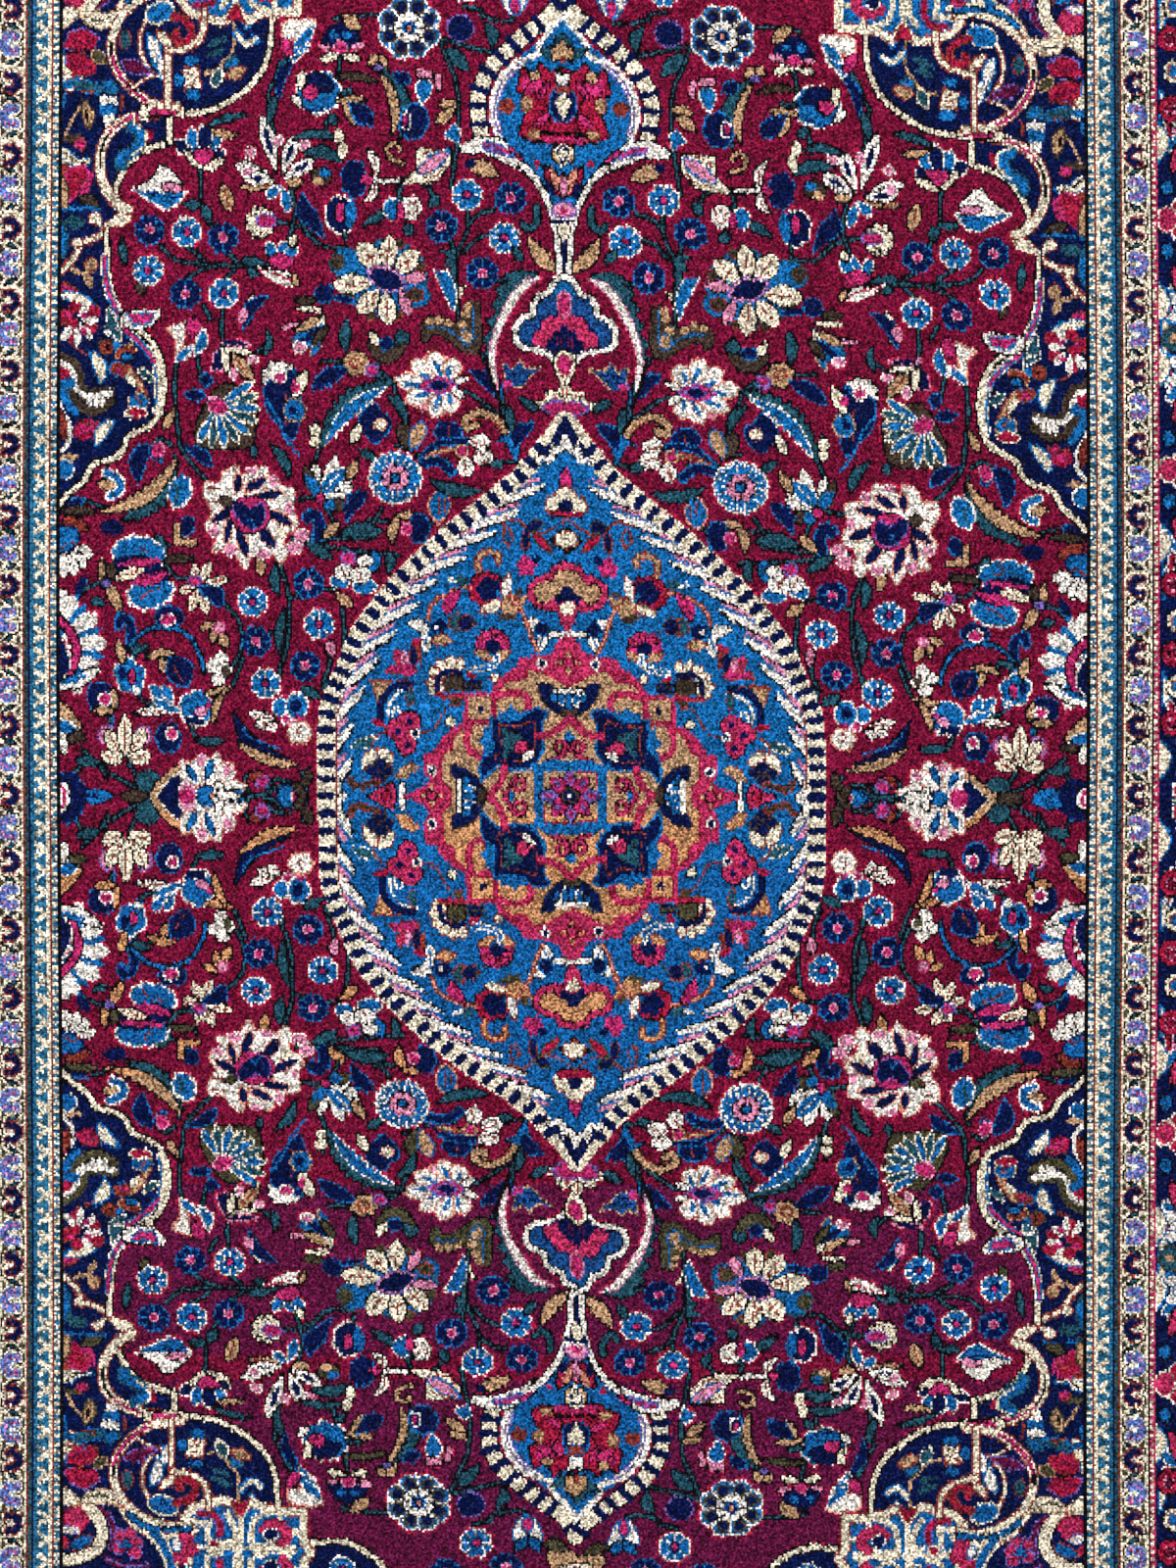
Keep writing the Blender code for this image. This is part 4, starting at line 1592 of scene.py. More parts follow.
# %% The palmette past the pendant's point, which the photograph cuts off
figures("""
round tan//black -9,706 -24,698 -34,704 -30,718 -40,726 -26,738 -9,742
round cream//black -9,742 -26,730 -22,716 -9,712 4,716
spot 7 8 magenta//navy -9,724
leaf 9 2 brown -16,700 -38,694
leaf 11 -3 teal -14,744 -30,756
rosette 13 sky -93,693
rosette 13 navy -68,716 -118,721
rosette 13 sky -96,748
round ivory//sky -62,690 -50,686 -38,690 -42,676 -50,668 -58,674
leaf 8 magenta//sky -50,684 -50,668
leaf 8 sky -60,700 -50,688 -40,700 -48,688
line 3.4 tan//black -76,742 -84,732 -92,730 -96,722
""")
for x, y, reach in ((-9, 770, 12), (-42, 776, 9)):
    shape(ring_of(x, y, reach, reach, lobes=8, depth=0.12), "sky", "ivory", 1.5)
    spot(x, y, reach / 3, reach / 3, "magenta", "black", reach=1.2)

# %% The white lotus that joins a pendant to the medallion, in its horned calyx
figures("""
shape teal/black -30,446 -46,450 -58,446 -55,440 -66,434 -62,428 -70,420 -65,414 -74,406 -69,400 -77,390
 -73,384 -76,372 -70,360 -66,350 -64,352 -68,372 -66,388 -60,402 -53,416 -45,430 -36,439
shape ivory/pink -28,443 -42,441 -52,430 -60,416 -66,402 -70,388 -72,372 -69,358 -66,348 -66,360 -68,374
 -66,388 -61,402 -53,416 -45,429 -37,438
line 4 black -75,374 -71,358 -66,345 -62,334
""")
LOTUS_HEAD = (
    (-9, 444), (-17, 440), (-21, 430), (-30, 427), (-34, 421), (-35, 412), (-45, 408), (-50, 400),
    (-49, 388), (-42, 383), (-27, 381), (-20, 376), (-15, 370), (-9, 360),
)
shape(LOTUS_HEAD + ((-4, 360), (-4, 444)), "denim")
figures("""
shape sky -13,440 -17,430 -14,424 -12,412 -9,432 -4,432 -4,440
""")
line(LOTUS_HEAD, "ivory", 4.4, "black", 1.3, smooth=False)
figures("""
shape rose/navy -35,387 -34,396 -28,399 -27,406 -20,411 -14,409 -12,416 -6,416 -4,409 4,404 4,382 -24,382
spot 4.2 9.5 magenta//pink -8.5,421
shape navy -24,381 -22,390 -18,391 -16,400 -13,392 -11,399 -9,405 -7,399 -5,392 -2,400 0,391 4,390 5,381
 -9,372
bar 1.6 maroon -13.5,384 -13.5,391
-4.5,384 -4.5,391
leaf 15 cream full=.35 -9,381 -9,352
leaf 8 magenta:rust full=.35 -9,376 -9,360
# the small palmette with its red veins
leaf 10 cream/black vein=rust -9,330 -34,336 -9,330 -24,346 -9,330 -9,353 -9,330 6,346
shape magenta//lilac -26,332 -18,337 -9,335 0,337 10,332 0,326 -18,326
leaf 7 teal -30,330 -46,340
""")

# %% Medallion grounds
shape(np.vstack((MEDALLION_BAND, ((-2, 322), (2, -14)))), "sky")
feathers()
line(beside(MEDALLION_BAND[:8], 1), "rust", 16, None, smooth=False)
line(MEDALLION_BAND, "cream", 15.5, None, smooth=False)
across_band(MEDALLION_BAND, SIDE_DASHES, 8.5, 7, "navy")
across_band(MEDALLION_BAND, SLOPE_DASHES, 7.2, 7.4, "navy")
figures("""
shape navy -32,290 -20,303 -9,324 -6,324 -6,311 -14,300 -17,303 -22,292 -26,294
shape ivory:black -33,286 -27,292 -22,289 -16,300 -13,297 -9,308 -6,308 -6,300 -10,293 -13,294 -19,284
 -24,286
""")

# %% The bell, the diamond of stems and the trefoil that stand on the middle line
figures("""
leaf 7 magenta/navy -8,258 -8,280
shape cream/rust -24,245 -22,254 -15,256 -14,261 -7,264 0,261 1,256 8,254 10,245 -7,241
spot 6 navy -7,248
bar 3.4 scarlet/black -19,241 5,241
line 2 rust -62,233 -48,236 -34,225 -20,227 -7,237
bar 1.6 black -20,219 -7,230 6,219 -7,207 -20,219
bloom 9 7 5 .3 cream/rust -7,219
bloom 7 4.5 5 .2 30 navy/brown -33,231
leaf 6 navy/rust -40,228 -41,209
leaf 6.5 scarlet/brown -34,224 -19,209
line 2.4 rust -58,231 -60,220 -55,214
line 1.8 rust -56,231 -52,222 -55,214
line 3.2 tan//rust -80,190 -81,203 -73,209 -64,206 -64,200
bloom 9.5 9 5 .3 20 magenta -40,196
leaf 7 navy/ -36,199 -28,205
leaf 5 magenta/ -42,200 -42,207
# the trefoil, its navy flower and its stem with a white bar
shape rose:black -6,200 -18,197 -20,190 -31,187 -39,180 -39,170 -32,161 -22,158 -13,158 -10,146 -3,146
 0,158
shape tan:black -6,193 -15,189 -19,183 -30,181 -34,175 -30,167 -22,165 -15,172 -6,176 4,176 4,190
shape navy -14,163 -17,171 -11,173 -10,178 -6,180 -2,178 -1,173 5,171 2,163
leaf 10 cream:scarlet full=.3 -6,166 -6,151
bar 5 rose -6,152 -6,130
bar 4.2 ivory/black -19,138 7,138
""")

# %% The flowers between the trefoil and the feathers
figures("""
# the ring flower with a white and a tan leaf
bloom 16 14.5 9 .14 15 scarlet/black -74,177
bloom 11.5 11 5 .2 35 navy -72,177
leaf 6 sky/ -66,176 -58,168
leaf 7 ivory/rust -59,168 -55,190
leaf 8 cream/rust -80,158 -60,165
shape tan/rust -62,166 -52,172 -46,168 -40,172 -44,160 -52,154 -60,156
leaf 7 brown/ -68,156 -48,151
leaf 6 brown/ -50,172 -42,176
leaf 9 teal/ -104,183 -88,186
leaf 4 ivory/ -108,186 -98,182
line 1.8 salmon:rust -124,152 -121,163 -110,172 -96,177 -88,178
leaf 9 -2 magenta:black -96,177 -109,154
leaf 6 magenta/ -104,174 -112,160
""")
# white wings on both sides, each over a navy flower
wings = ((-10, 5), (-3, 9), (6, 6), (9, -3), (11, -12), (6, -19), (2, -14), (3, -5), (-2, 0))
for x, y in ((-132, 142), (-33, 143)):
    shape(placed(wings, x, y, 0), "ivory", "black", 0.9, smooth=True)
    line(placed(((3, -16), (7, -8), (7, 2)), x, y, 0), "sky", 1.6, None)
figures("""
line 1.8 salmon:rust -52,168 -45,160 -40,150 -36,136 -30,124
bloom 6 6.5 4 .2 navy:sky -27,143
bloom 7.5 7 5 .18 navy:sky -115,145
spot 2 ivory:navy -117,144
leaf 9 tan/rust -120,134 -104,132
leaf 5 rust/ -134,132 -130,112
spot 7 teal/rust -99,148
spot 6 6.5 navy:rust -92,148
line 1.8 brown -86,150 -80,142 -74,140
""")
# the half flower over the cross
for k in range(7):
    angle = math.radians(-8 + 32.6 * k)
    tip = (-69 + 15 * math.cos(angle), 130 + 13.5 * math.sin(angle))
    leaf(-69, 130, *tip, 8.5, ("magenta", "rose")[k % 2], "black", full=0.7, reach=0.9)
figures("""
spot 6.5 6 navy -69,128
leaf 7 tan:rust -84,124 -70,117 -54,124 -66,117
line 2.2 sky//ivory -88,108 -76,109 -66,114 -66,120
# the cream fan with its navy arc and brown heart
petals 9 cream:rust inner=.35 -103,97 -96,118 -106,119 -116,115 -123,107 -126,97 -123,88
line 4.5 navy -116,90 -115,101 -107,107 -96,106
shape brown/black -110,90 -110,100 -104,103 -95,102 -94,90
bar 3 scarlet:rust -116,86 -94,86
leaf 6 brown/ -106,80 -94,82
leaf 5 scarlet/ -93,104 -82,101
bar 3 navy:brown -91,97 -80,97
-91,92 -80,92
line 1.8 rust -96,78 -108,76 -114,66 -120,56 -134,53
spot 3.2 cream/rust -67,101
spot 4 3.6 cream/black -105,63
""")

# %% The flowers beside the medallion's broadest part
figures("""
shape magenta:rust -160,106 -156,111 -146,113 -136,113 -134,106 -140,103 -150,105
leaf 8 rose:rust -146,112 -152,125
leaf 7 pink/ -144,111 -144,124
leaf 7 navy:rust -136,110 -137,128
leaf 6 scarlet/ -140,128 -128,134
# nested arcs
bar 1.8 rust -174,98 -140,98
shape tan:rust -172,97 -157,97 -163,88 -167,80
line 6.5 navy -164,62 -165,76 -160,87 -151,94 -139,95
line 1.9 ivory -158,66 -158,76 -153,85 -145,90 -136,91
-154,64 -153,75 -148,74 -147,67
leaf 6 teal:rust -140,76 -139,93
# the crimson leaf with dark eyes
shape rose/black -160,58 -155,65 -149,67 -146,72 -138,72 -131,66 -131,59 -139,54 -134,47 -136,39 -143,34
 -150,40 -152,48 -159,51
leaf 6 scarlet/ -173,64 -158,60
spot 2.8 navy//magenta -140,64 -150,55 -142,43
spot 2.6 navy//ivory -135,53
leaf 8 teal:cream -190,41 -168,49
line 1.8 rust -172,38 -170,48 -160,55
leaf 10 cream:rust -180,23 -169,40 -167,40 -154,29
spot 5.5 4.5 navy:brown -172,22 -160,22 -165,27 -166,15
shape tan:rust -152,15 -147,24 -138,28 -132,24 -139,20 -143,15
line 3 brown//rust -191,14 -186,8 -178,9 -168,12
shape rose/black -176,0 -162,8 -155,11 -152,4 -152,-2 -170,-2
spot 4 scarlet/black -160,0
bar 4.2 ivory/black -146,-10 -146,10
""")

# %% Heart
figures("""
shape rose -3,138 -9,130 -21,121 -46,118 -48,111 -60,103 -71,88 -93,88 -94,62 -104,58 -113,48 -119,38
 -128,37 -128,20 -123,12 -132,6 -147,0 -132,-6 6,-6 6,130
shape tan/scarlet -3,92 -14,98 -24,104 -36,107 -49,102 -59,95 -66,85 -66,60 -87,61 -97,54 -106,46 -111,36
 -112,14 -104,6 -104,-6 4,-6 4,92
""")
# a star of four points in each tip
STAR_POINT, STAR_WAIST = 11, 3 * math.sqrt(2)
for x, y in ((-121, 0), (-4, 114)):
    star = [(x + reach * math.cos(k * math.pi / 4), y + reach * math.sin(k * math.pi / 4))
            for k, reach in enumerate((STAR_POINT, STAR_WAIST) * 4)]
    shape(star, "tan", "scarlet", 1.2)
    spot(x, y, 4, yarn="rose", rim="black", reach=1.2)
figures("""
# the boxes in the steps and the dark eyes
shape tan/scarlet -89,84 -71,84 -71,66 -89,66
spot 3 navy -79,74
spot 2.8 navy//ivory -121,22 -27,113
leaf 7 rose/scarlet -55,100 -40,104
leaf 8 rose/scarlet -113,38 -103,48
# the arches beside the leaves
line 4 rose:scarlet -66,85 -54,88 -43,87 -38,80 -40,70
-88,62 -91,50 -89,40 -80,34 -72,39
""")
CROWN = ((-9, -4), (-11, 3), (-5, 2), (0, 7), (5, 2), (11, 3), (9, -4))
for x, y, turn in ((-53, 69, 0), (-73, 47, 90)):
    shape(placed(CROWN, x, y, turn), "sky", "deep_sky", 1.0)
oak_leaf()
basket(-4, 87, 0)
basket(-95, 0, 90)
figures("""
# chevrons and scrolls in the arms
line 4.4 rose:scarlet -31,51 -17,54 -4,66
-59,24 -62,12 -72,0
spot 3.2 sky:deep_sky -3,50
spot 4.2 3.6 sky:deep_sky -55,0
""")
scroll(-11, 42, 0)
scroll(-46, 9, -90, -1)
figures("""
# the flower in the very middle, on a tan square in a sky frame
shape sky/deep_sky -36,28 -30,25 -22,29 4,29 4,-4 -32,-4 -32,18
shape tan/scarlet -25,20 4,20 4,-4 -25,-4
""")
HEART_X = -2.5
for k in range(8):
    angle = math.radians(45 * k)
    reach = 27 if k % 4 == 0 else 23
    across, up = reach * math.cos(angle), reach * math.sin(angle) * 0.95
    leaf(HEART_X, 0, HEART_X + across, up, 12, ("lilac", "magenta")[k % 2], "black", reach=0.9)
    low, high = (HEART_X + across * 0.5, up * 0.5), (HEART_X + across * 0.85, up * 0.85)
    leaf(*low, *high, 4, ("magenta", "lilac")[k % 2], None)
figures("""
spot 8.5 8 black -2.5,0
spot 5.5 5 navy//brown -2.5,0
spot 1.8 ivory -2.5,0
""")

# %% [markdown]
# The border. From the field outwards come a dotted stripe, a stripe of arrowheads, a dark
# stripe, a narrow cream guard with a vine, and the broad navy border. A second guard with
# the same vine and a plain edge stripe close it. Only the inner third of this is in the
# photograph, and the rest is finished in the same manner.

# %% Stripes that run round the rug
knot_x = (np.arange(COLUMNS) + 0.5 - COLUMNS / 2) * KNOT_X
knot_y = (np.arange(ROWS) + 0.5 - ROWS / 2) * KNOT_Y
past_side = np.abs(knot_x)[None, :] - FIELD_X
past_end = np.abs(knot_y)[:, None] - FIELD_Y
from_field = np.maximum(past_side, past_end)  # how far out each knot lies
along_border = np.where(past_side > past_end, knot_y[:, None], knot_x[None, :])


def stripe(inner, outer, yarn):
    chart[(from_field >= inner) & (from_field < outer)] = YARN_NUMBER[yarn]


def dots(inner, outer, yarn, repeat, share):
    """Blocks of a yarn at even steps along a stripe."""
    block = (along_border / repeat) % 1 < share
    chart[block & (from_field >= inner) & (from_field < outer)] = YARN_NUMBER[yarn]


# %% The places along the border
# A border motif is drawn by its distance along the side and its distance from the field.
def on_side(side, way, start):
    return lambda points: np.column_stack((side * (FIELD_X + points[:, 1]), start + way * points[:, 0]))


def on_end(end, way, start):
    return lambda points: np.column_stack((start + way * points[:, 0], end * (FIELD_Y + points[:, 1])))


def draw_at(side_places, end_places, mirrored=True):
    """Sets the next motifs at some places along both sides and both ends."""
    ways = (-1, 1) if mirrored else (1,)
    maps = [on_side(side, way, place) for side in (-1, 1) for place in side_places for way in ways]
    maps += [on_end(end, way, place) for end in (-1, 1) for place in end_places for way in ways]
    draw_on(maps)


# %% The navy border
MAIN_INNER = 60.5
MAIN_OUTER = 176.0
MAIN_MIDDLE = (MAIN_INNER + MAIN_OUTER) / 2
CORNER_SIDE = FIELD_Y + MAIN_MIDDLE


def palmette_head(way):
    """The big crimson palmette, which opens outwards or towards the field."""
    d = MAIN_MIDDLE

    def out(distance):
        return d + way * distance

    shape(ring_of(0, d, 50, 47, points=24, lobes=14, depth=0.12), "scarlet", "ivory", 1.6)
    shape(ring_of(0, d, 41, 39, lobes=12, depth=0.16), "navy", "rust", 1.6)
    for k in range(9):
        angle = math.radians(-20 + 27.5 * k)
        tip = (38 * math.cos(angle), out(38 * math.sin(angle)))
        start = (12 * math.cos(angle), out(12 * math.sin(angle)))
        yarn = ("ivory", "pink")[k % 2]
        leaf(*start, *tip, 14, yarn, "black", vein=("rust", "magenta")[k % 2], full=0.62, reach=1.4)
    leaf(-14, out(-8), -47, out(-26), 15, "tan", "black", bend=3 * way, vein="rust")
    leaf(14, out(-8), 47, out(-26), 15, "tan", "black", bend=-3 * way, vein="rust")
    leaf(-6, out(-10), -24, out(-42), 13, "sky", "ivory", bend=2 * way)
    leaf(6, out(-10), 24, out(-42), 13, "sky", "ivory", bend=-2 * way)
    for s in (-1, 1):
        leaf(40 * s, out(46), 76 * s, out(24), 11, "rose", "black", bend=3 * s * way)
        spot(27 * s, out(50), 6, 5, "sky", "black")
    spot(0, out(50), 10, 8, "rose", "cream")
    spot(0, d, 17, 16, "crimson", "cream")
    spot(0, d, 11.5, 11, "sky", "black", reach=1.6)
    for k in range(6):
        angle = math.radians(60 * k)
        spot(7.5 * math.cos(angle), d + 7.5 * math.sin(angle), 2.6, 2.6, "ivory")
    spot(0, d, 3.6, 3.6, "magenta", "black")
    leaf(0, out(-16), 0, out(-46), 17, "teal", "cream", full=0.4, vein="black")
    spot(0, out(-30), 4, 4, "magenta", "cream")


def arabesques():
    """Split leaves that sweep from the palmettes to the small flowers."""
    vine = ((20, 118), (48, 124), (64, 110), (74, 92), (92, 84), (112, 92))
    for way in (1, -1):
        def across(d):
            return MAIN_MIDDLE + way * (d - MAIN_MIDDLE)

        line([(s, across(d)) for s, d in vine], "tan", 3.0, "black")
        leaf(46, across(100), 88, across(68), 14, "scarlet", "ivory", bend=-6 * way, full=0.42, teeth=6,
             side=-way)
        leaf(54, across(94), 82, across(72), 5, "pink", "black", bend=-3 * way)
        shape(((84, across(63)), (92, across(70)), (103, across(66)), (110, across(63))), "cream", "sky")
        leaf(72, across(104), 98, across(110), 12, "teal", "black", bend=3 * way, teeth=5, side=way)
        leaf(68, across(84), 60, across(66), 9, "sky", "ivory", bend=2 * way)


def outward_leaf(d, angle, low, high, *look, **more):
    """A leaf that points away from the middle of a border flower."""
    across, out = math.cos(angle), math.sin(angle)
    leaf(low * across, d + low * out, high * across, d + high * out, *look, **more)


def rings_and_roses():
    """A large sky rosette between two lilac ones, with small rings on both sides."""
    d = MAIN_MIDDLE
    stem = ((-50, 34), (-28, 22), (0, 30), (28, 22), (50, 34))
    for way in (1, -1):
        line([(s, d + way * height) for s, height in stem], "teal", 2.6, "black")
    for way in (-1, 1):
        ring_d = d + way * 47
        for s in (-60, 0, 60):
            spot(s, ring_d, 10.5, 9.5, "scarlet", "black", reach=1.5)
            spot(s, ring_d, 5.5, 5, "pink", None)
            spot(s, ring_d, 3.2, 3, "crimson", "black", reach=1.3)
        for s in (-28, 28):
            shape(ring_of(s, d + way * 44, 10, 8, lobes=6, depth=0.15), "cream", "black", 1.4)
            spot(s, d + way * 44, 4.5, 3.5, "sky", "rust", reach=1.2)
        leaf(-14, d + way * 38, -2, d + way * 26, 9, "teal", "black")
        leaf(14, d + way * 38, 2, d + way * 26, 9, "tan", "black")
    for s in (-44, 44):
        shape(ring_of(s, d, 13, 14, lobes=8, depth=0.14), "lilac", "pink", 1.5)
        spot(s, d, 5, 5, "navy", "ivory")
    shape(ring_of(0, d, 29, 27, turn=11, lobes=12, depth=0.13), "sky", "ivory", 1.8)
    for k in range(12):
        spoke(0, d, math.radians(30 * k), 14, 25, "ivory", 1.3)
    spot(0, d, 15, 14, "crimson", "black")
    for k in range(8):
        angle = math.radians(45 * k)
        spot(9.5 * math.cos(angle), d + 9 * math.sin(angle), 3.4, 3.4, "cream", "black", reach=0.9)
    spot(0, d, 4, 4, "navy", "tan")


def oval_node():
    """A tan flower between two sky ones, where the stems of the border cross."""
    d = MAIN_MIDDLE
    for way in (-1, 1):
        spot(0, d + way * 46, 10, 9, "teal", "brown", reach=1.6)
        spot(0, d + way * 46, 4, 4, "tan")
        for s in (-27, 27):
            tips = ((s - 13, d + way * 42), (s, d + way * 32), (s + 13, d + way * 42))
            petals_round(s, d + way * 50, tips, 10, "ivory", "sky", reach=1.3)
            spot(s, d + way * 51, 5, 4, "magenta", "black", reach=1.3)
        stem = ((-56, 40), (-30, 18), (0, 28), (30, 18), (56, 40))
        line([(s, d + way * height) for s, height in stem], "tan", 2.6, "black")
        leaf(-42, d + way * 30, -20, d + way * 12, 12, "scarlet", "black", bend=3 * way)
        leaf(42, d + way * 30, 20, d + way * 12, 12, "brown", "tan", bend=-3 * way)
    shape(ring_of(0, d, 24, 25, lobes=10, depth=0.14), "tan", "ivory", 1.7)
    shape(ring_of(0, d, 17, 18, lobes=8, depth=0.12), "navy", "black", 1.4)
    for k in range(8):
        outward_leaf(d, math.radians(45 * k + 22), 4, 15, 6, ("sky", "pink")[k % 2], None)
    spot(0, d, 5, 5, "magenta", "cream")
    for s in (-46, 46):
        spot(s, d, 9, 11, "sky", "ivory")
        spot(s, d, 4, 5, "scarlet", "black", reach=1.2)


def corner_rosette():
    """The cream rosette in each corner of the border."""
    d = MAIN_MIDDLE
    shape(ring_of(0, d, 46, 46, turn=11, lobes=16, depth=0.1), "cream", "black")
    for k in range(16):
        yarn = ("sky", "scarlet")[k % 2]
        outward_leaf(d, math.radians(22.5 * k), 20, 43, 10, yarn, "black", full=0.6, reach=1.2)
    shape(ring_of(0, d, 24, 24, lobes=8, depth=0.14), "navy", "ivory")
    for k in range(8):
        angle = math.radians(45 * k)
        spot(14 * math.cos(angle), d + 14 * math.sin(angle), 4.6, 4.6, "pink", "magenta", reach=1.2)
    spot(0, d, 8, 8, "tan", "black")
    spot(0, d, 3.6, 3.6, "scarlet")


# Where the figures stand along the sides, and along the ends, in mm from the middle.
ARABESQUES = (-770, -505, -290, -5, 280, 495, 765), (-280, 0, 280)
ROSES = (-650, -135, 122, 650), (-420, 420)
OVALS = (-397, 392), (-140, 140)
OUTWARD_PALMETTES = (-775, -5, 765), (-280, 280)
INWARD_PALMETTES = (-505, -290, 280, 495), (0,)
HALF_FLOWERS = (-558, -426, -370, -228, -40, 30, 216, 367, 422, 560), (-210, -70, 70, 210)
CORNERS = (-CORNER_SIDE, CORNER_SIDE), ()


def main_border():
    """The navy band with all its figures."""
    stripe(MAIN_INNER, MAIN_OUTER, "navy")
    draw_at(*ARABESQUES)
    arabesques()
    draw_at(*ROSES, mirrored=False)
    rings_and_roses()
    draw_at(*OVALS, mirrored=False)
    oval_node()
    draw_at(*OUTWARD_PALMETTES, mirrored=False)
    palmette_head(1)
    draw_at(*INWARD_PALMETTES, mirrored=False)
    palmette_head(-1)
    draw_at(*HALF_FLOWERS, mirrored=False)
    shape(((-15, MAIN_INNER), (-7, 67), (3, 70), (11, 66), (17, MAIN_INNER)), "cream", "sky")
    draw_at(*CORNERS, mirrored=False)
    corner_rosette()


# %% [markdown]
# The vine of the guards is too small to draw by its sizes, so it is charted knot by knot, as
# a weaver would chart a border: one letter is one knot, the first row is the outermost, and
# only half of each figure is written out, from its middle line sideways.

# %% The vine guards
LETTERS = {
    "v": "periwinkle", "l": "lilac", "p": "pink", "m": "magenta", "n": "navy", "r": "rust",
    "k": "black", "t": "teal", "b": "brown", "i": "ivory",
}
BRIGHT_FLOWER_AND_VINE = (
    ".............",
    "vvv..........",
    "lvvvv.bbbbb..",
    "vvplvv.bbb..k",
    "vvvppvv.b..k.",
    "ivvvvvv...kk.",
    "iivlmvv..ktk.",
    "iivvvvv..ktk.",
    ".iivppv.kttk.",
    "..vvmvv.ktk..",
    "k.vvvpv.kk...",
    "k..vvv..k..b.",
    ".k.....k..bbb",
    "..kkkkk..bbbb",
)
DARK_FLOWER = (
    ".......",
    "..kkkkk",
    ".k....k",
    "k..rrr.",
    "k.rnnnr",
    "..rnnnr",
    "i.rnnr.",
    "iirnnnr",
    "irnnnnr",
    "rnnnnnr",
    "nnnnnr.",
    "nnnnr..",
    "rnnr...",
    ".rr....",
)


def stamp(rows, inner, way, side_places, end_places):
    """Knots a charted figure and its mirror image at places along both sides and both ends."""
    cells = []
    for r, row in enumerate(rows):
        cells += [(c, r, YARN_NUMBER[LETTERS[letter]]) for c, letter in enumerate(row) if letter != "."]
    along, out, yarn = np.array(cells).T
    depth = inner + (len(rows) - 0.5 - out if way > 0 else out + 0.5) * KNOT_X
    for mirror in (-1, 1):
        for side in (-1, 1):
            for place in side_places:
                knot_at(side * (FIELD_X + depth), place + mirror * along * KNOT_Y, yarn)
            for place in end_places:
                knot_at(place + mirror * along * KNOT_X, side * (FIELD_Y + depth), yarn)


def knot_at(x, y, yarn):
    column = np.floor(x / KNOT_X + COLUMNS / 2).astype(int)
    row = np.floor(y / KNOT_Y + ROWS / 2).astype(int)
    inside = (column >= 0) & (column < COLUMNS) & (row >= 0) & (row < ROWS)
    chart[row[inside], column[inside]] = yarn[inside]


VINE_REPEAT = 59.5  # mm from one bright flower to the next
SIDE_VINE_START = 31
SIDE_VINE_GROWTH = 0.2


def vine_guard(inner, way, past_corner):
    """One guard: bright flowers with the vine under them, and dark ones halfway between."""
    side_places = guard_places(FIELD_Y + past_corner, SIDE_VINE_START, SIDE_VINE_GROWTH)
    end_places = guard_places(FIELD_X + past_corner, 0, 0)
    stamp(BRIGHT_FLOWER_AND_VINE, inner, way, side_places, end_places)
    between = [[place + VINE_REPEAT / 2 for place in places] for places in (side_places, end_places)]
    stamp(DARK_FLOWER, inner, way, *between)


def guard_places(length, start, growth):
    """Where the flowers of the vine stand: the weaver packs them closer near the start."""
    count = int(length / VINE_REPEAT) + 1
    places = [start + VINE_REPEAT * n + growth * n * n for n in range(-count, count + 1)]
    return [place for place in places if abs(place) < length]


def arrowheads():
    shape(((-6.5, 11), (6.5, 11), (3.4, 15), (1.6, 20), (-1.6, 20), (-3.4, 15)), "petrol")
    shape(((5.2, 20), (13.2, 20), (10.6, 17), (9.2, 13.5), (7.8, 17)), "petrol")


ARROW_REPEAT = 18.5
PAST_THE_EDGE = BORDER_WIDTH * 1000 + 1


def guards():
    """Every stripe and narrow guard, from the field outwards, in mm from the field's edge."""
    stripe(-1.7, 0, "black")
    stripe(0, 5.5, "petrol")
    dots(0, 5.5, "cream", 6.8, 0.5)
    stripe(5.5, 7.0, "rust")
    stripe(7.0, 19.5, "cream")
    stripe(19.5, 22.5, "petrol")
    side_places = [ARROW_REPEAT * n for n in range(-42, 43)]
    end_places = [ARROW_REPEAT * n for n in range(-24, 25)]
    draw_at(side_places, end_places, mirrored=False)
    arrowheads()
    stripe(22.5, 24.3, "navy")
    stripe(24.3, 28.3, "teal")
    dots(24.3, 28.3, "brown", 5.4, 0.35)
    stripe(28.3, 30.0, "rust")
    stripe(30.0, 54.0, "cream")
    vine_guard(30.8, 1, past_corner=24)
    stripe(54.0, 55.6, "black")
    stripe(55.6, MAIN_INNER, "rose")
    dots(55.6, 59.0, "cream", 6.2, 0.55)
    stripe(MAIN_OUTER, 180.5, "rose")
    dots(177.5, 180.5, "cream", 6.2, 0.55)
    stripe(180.5, 182.0, "black")
    stripe(182.0, 206.0, "cream")
    vine_guard(182.4, -1, past_corner=176)
    stripe(206.0, 207.6, "rust")
    stripe(207.6, PAST_THE_EDGE, "navy")


stripe(0, PAST_THE_EDGE, "navy")
main_border()
guards()
print("the chart:", ROWS, "rows of", COLUMNS, "knots")

# %% [markdown]
# Wool is dyed in small lots, so bands of a colour run right across a rug where one lot ran
# out. Here the crimson turns to deep maroon in the near third, with one bright stripe in it,
# and the tan and blue of the medallion change at its middle. The tips of the pile also lean
# and wander by a knot, which breaks up every outline.

# %% Dye lots and wandering tips
LOTS = (
    # yarn, second lot, from and to in mm along the rug
    ("crimson", "maroon", -660, -500),
    ("crimson", "maroon", -478, -333),
    ("sky", "deep_sky", -800, -58),
    ("tan", "golden", -240, -14),
    ("brown", "olive", -800, -40),
)
for yarn, lot, low, high in LOTS:
    rows = (knot_y > low) & (knot_y < high)
    part = chart[rows]
    part[part == YARN_NUMBER[yarn]] = YARN_NUMBER[lot]
    chart[rows] = part

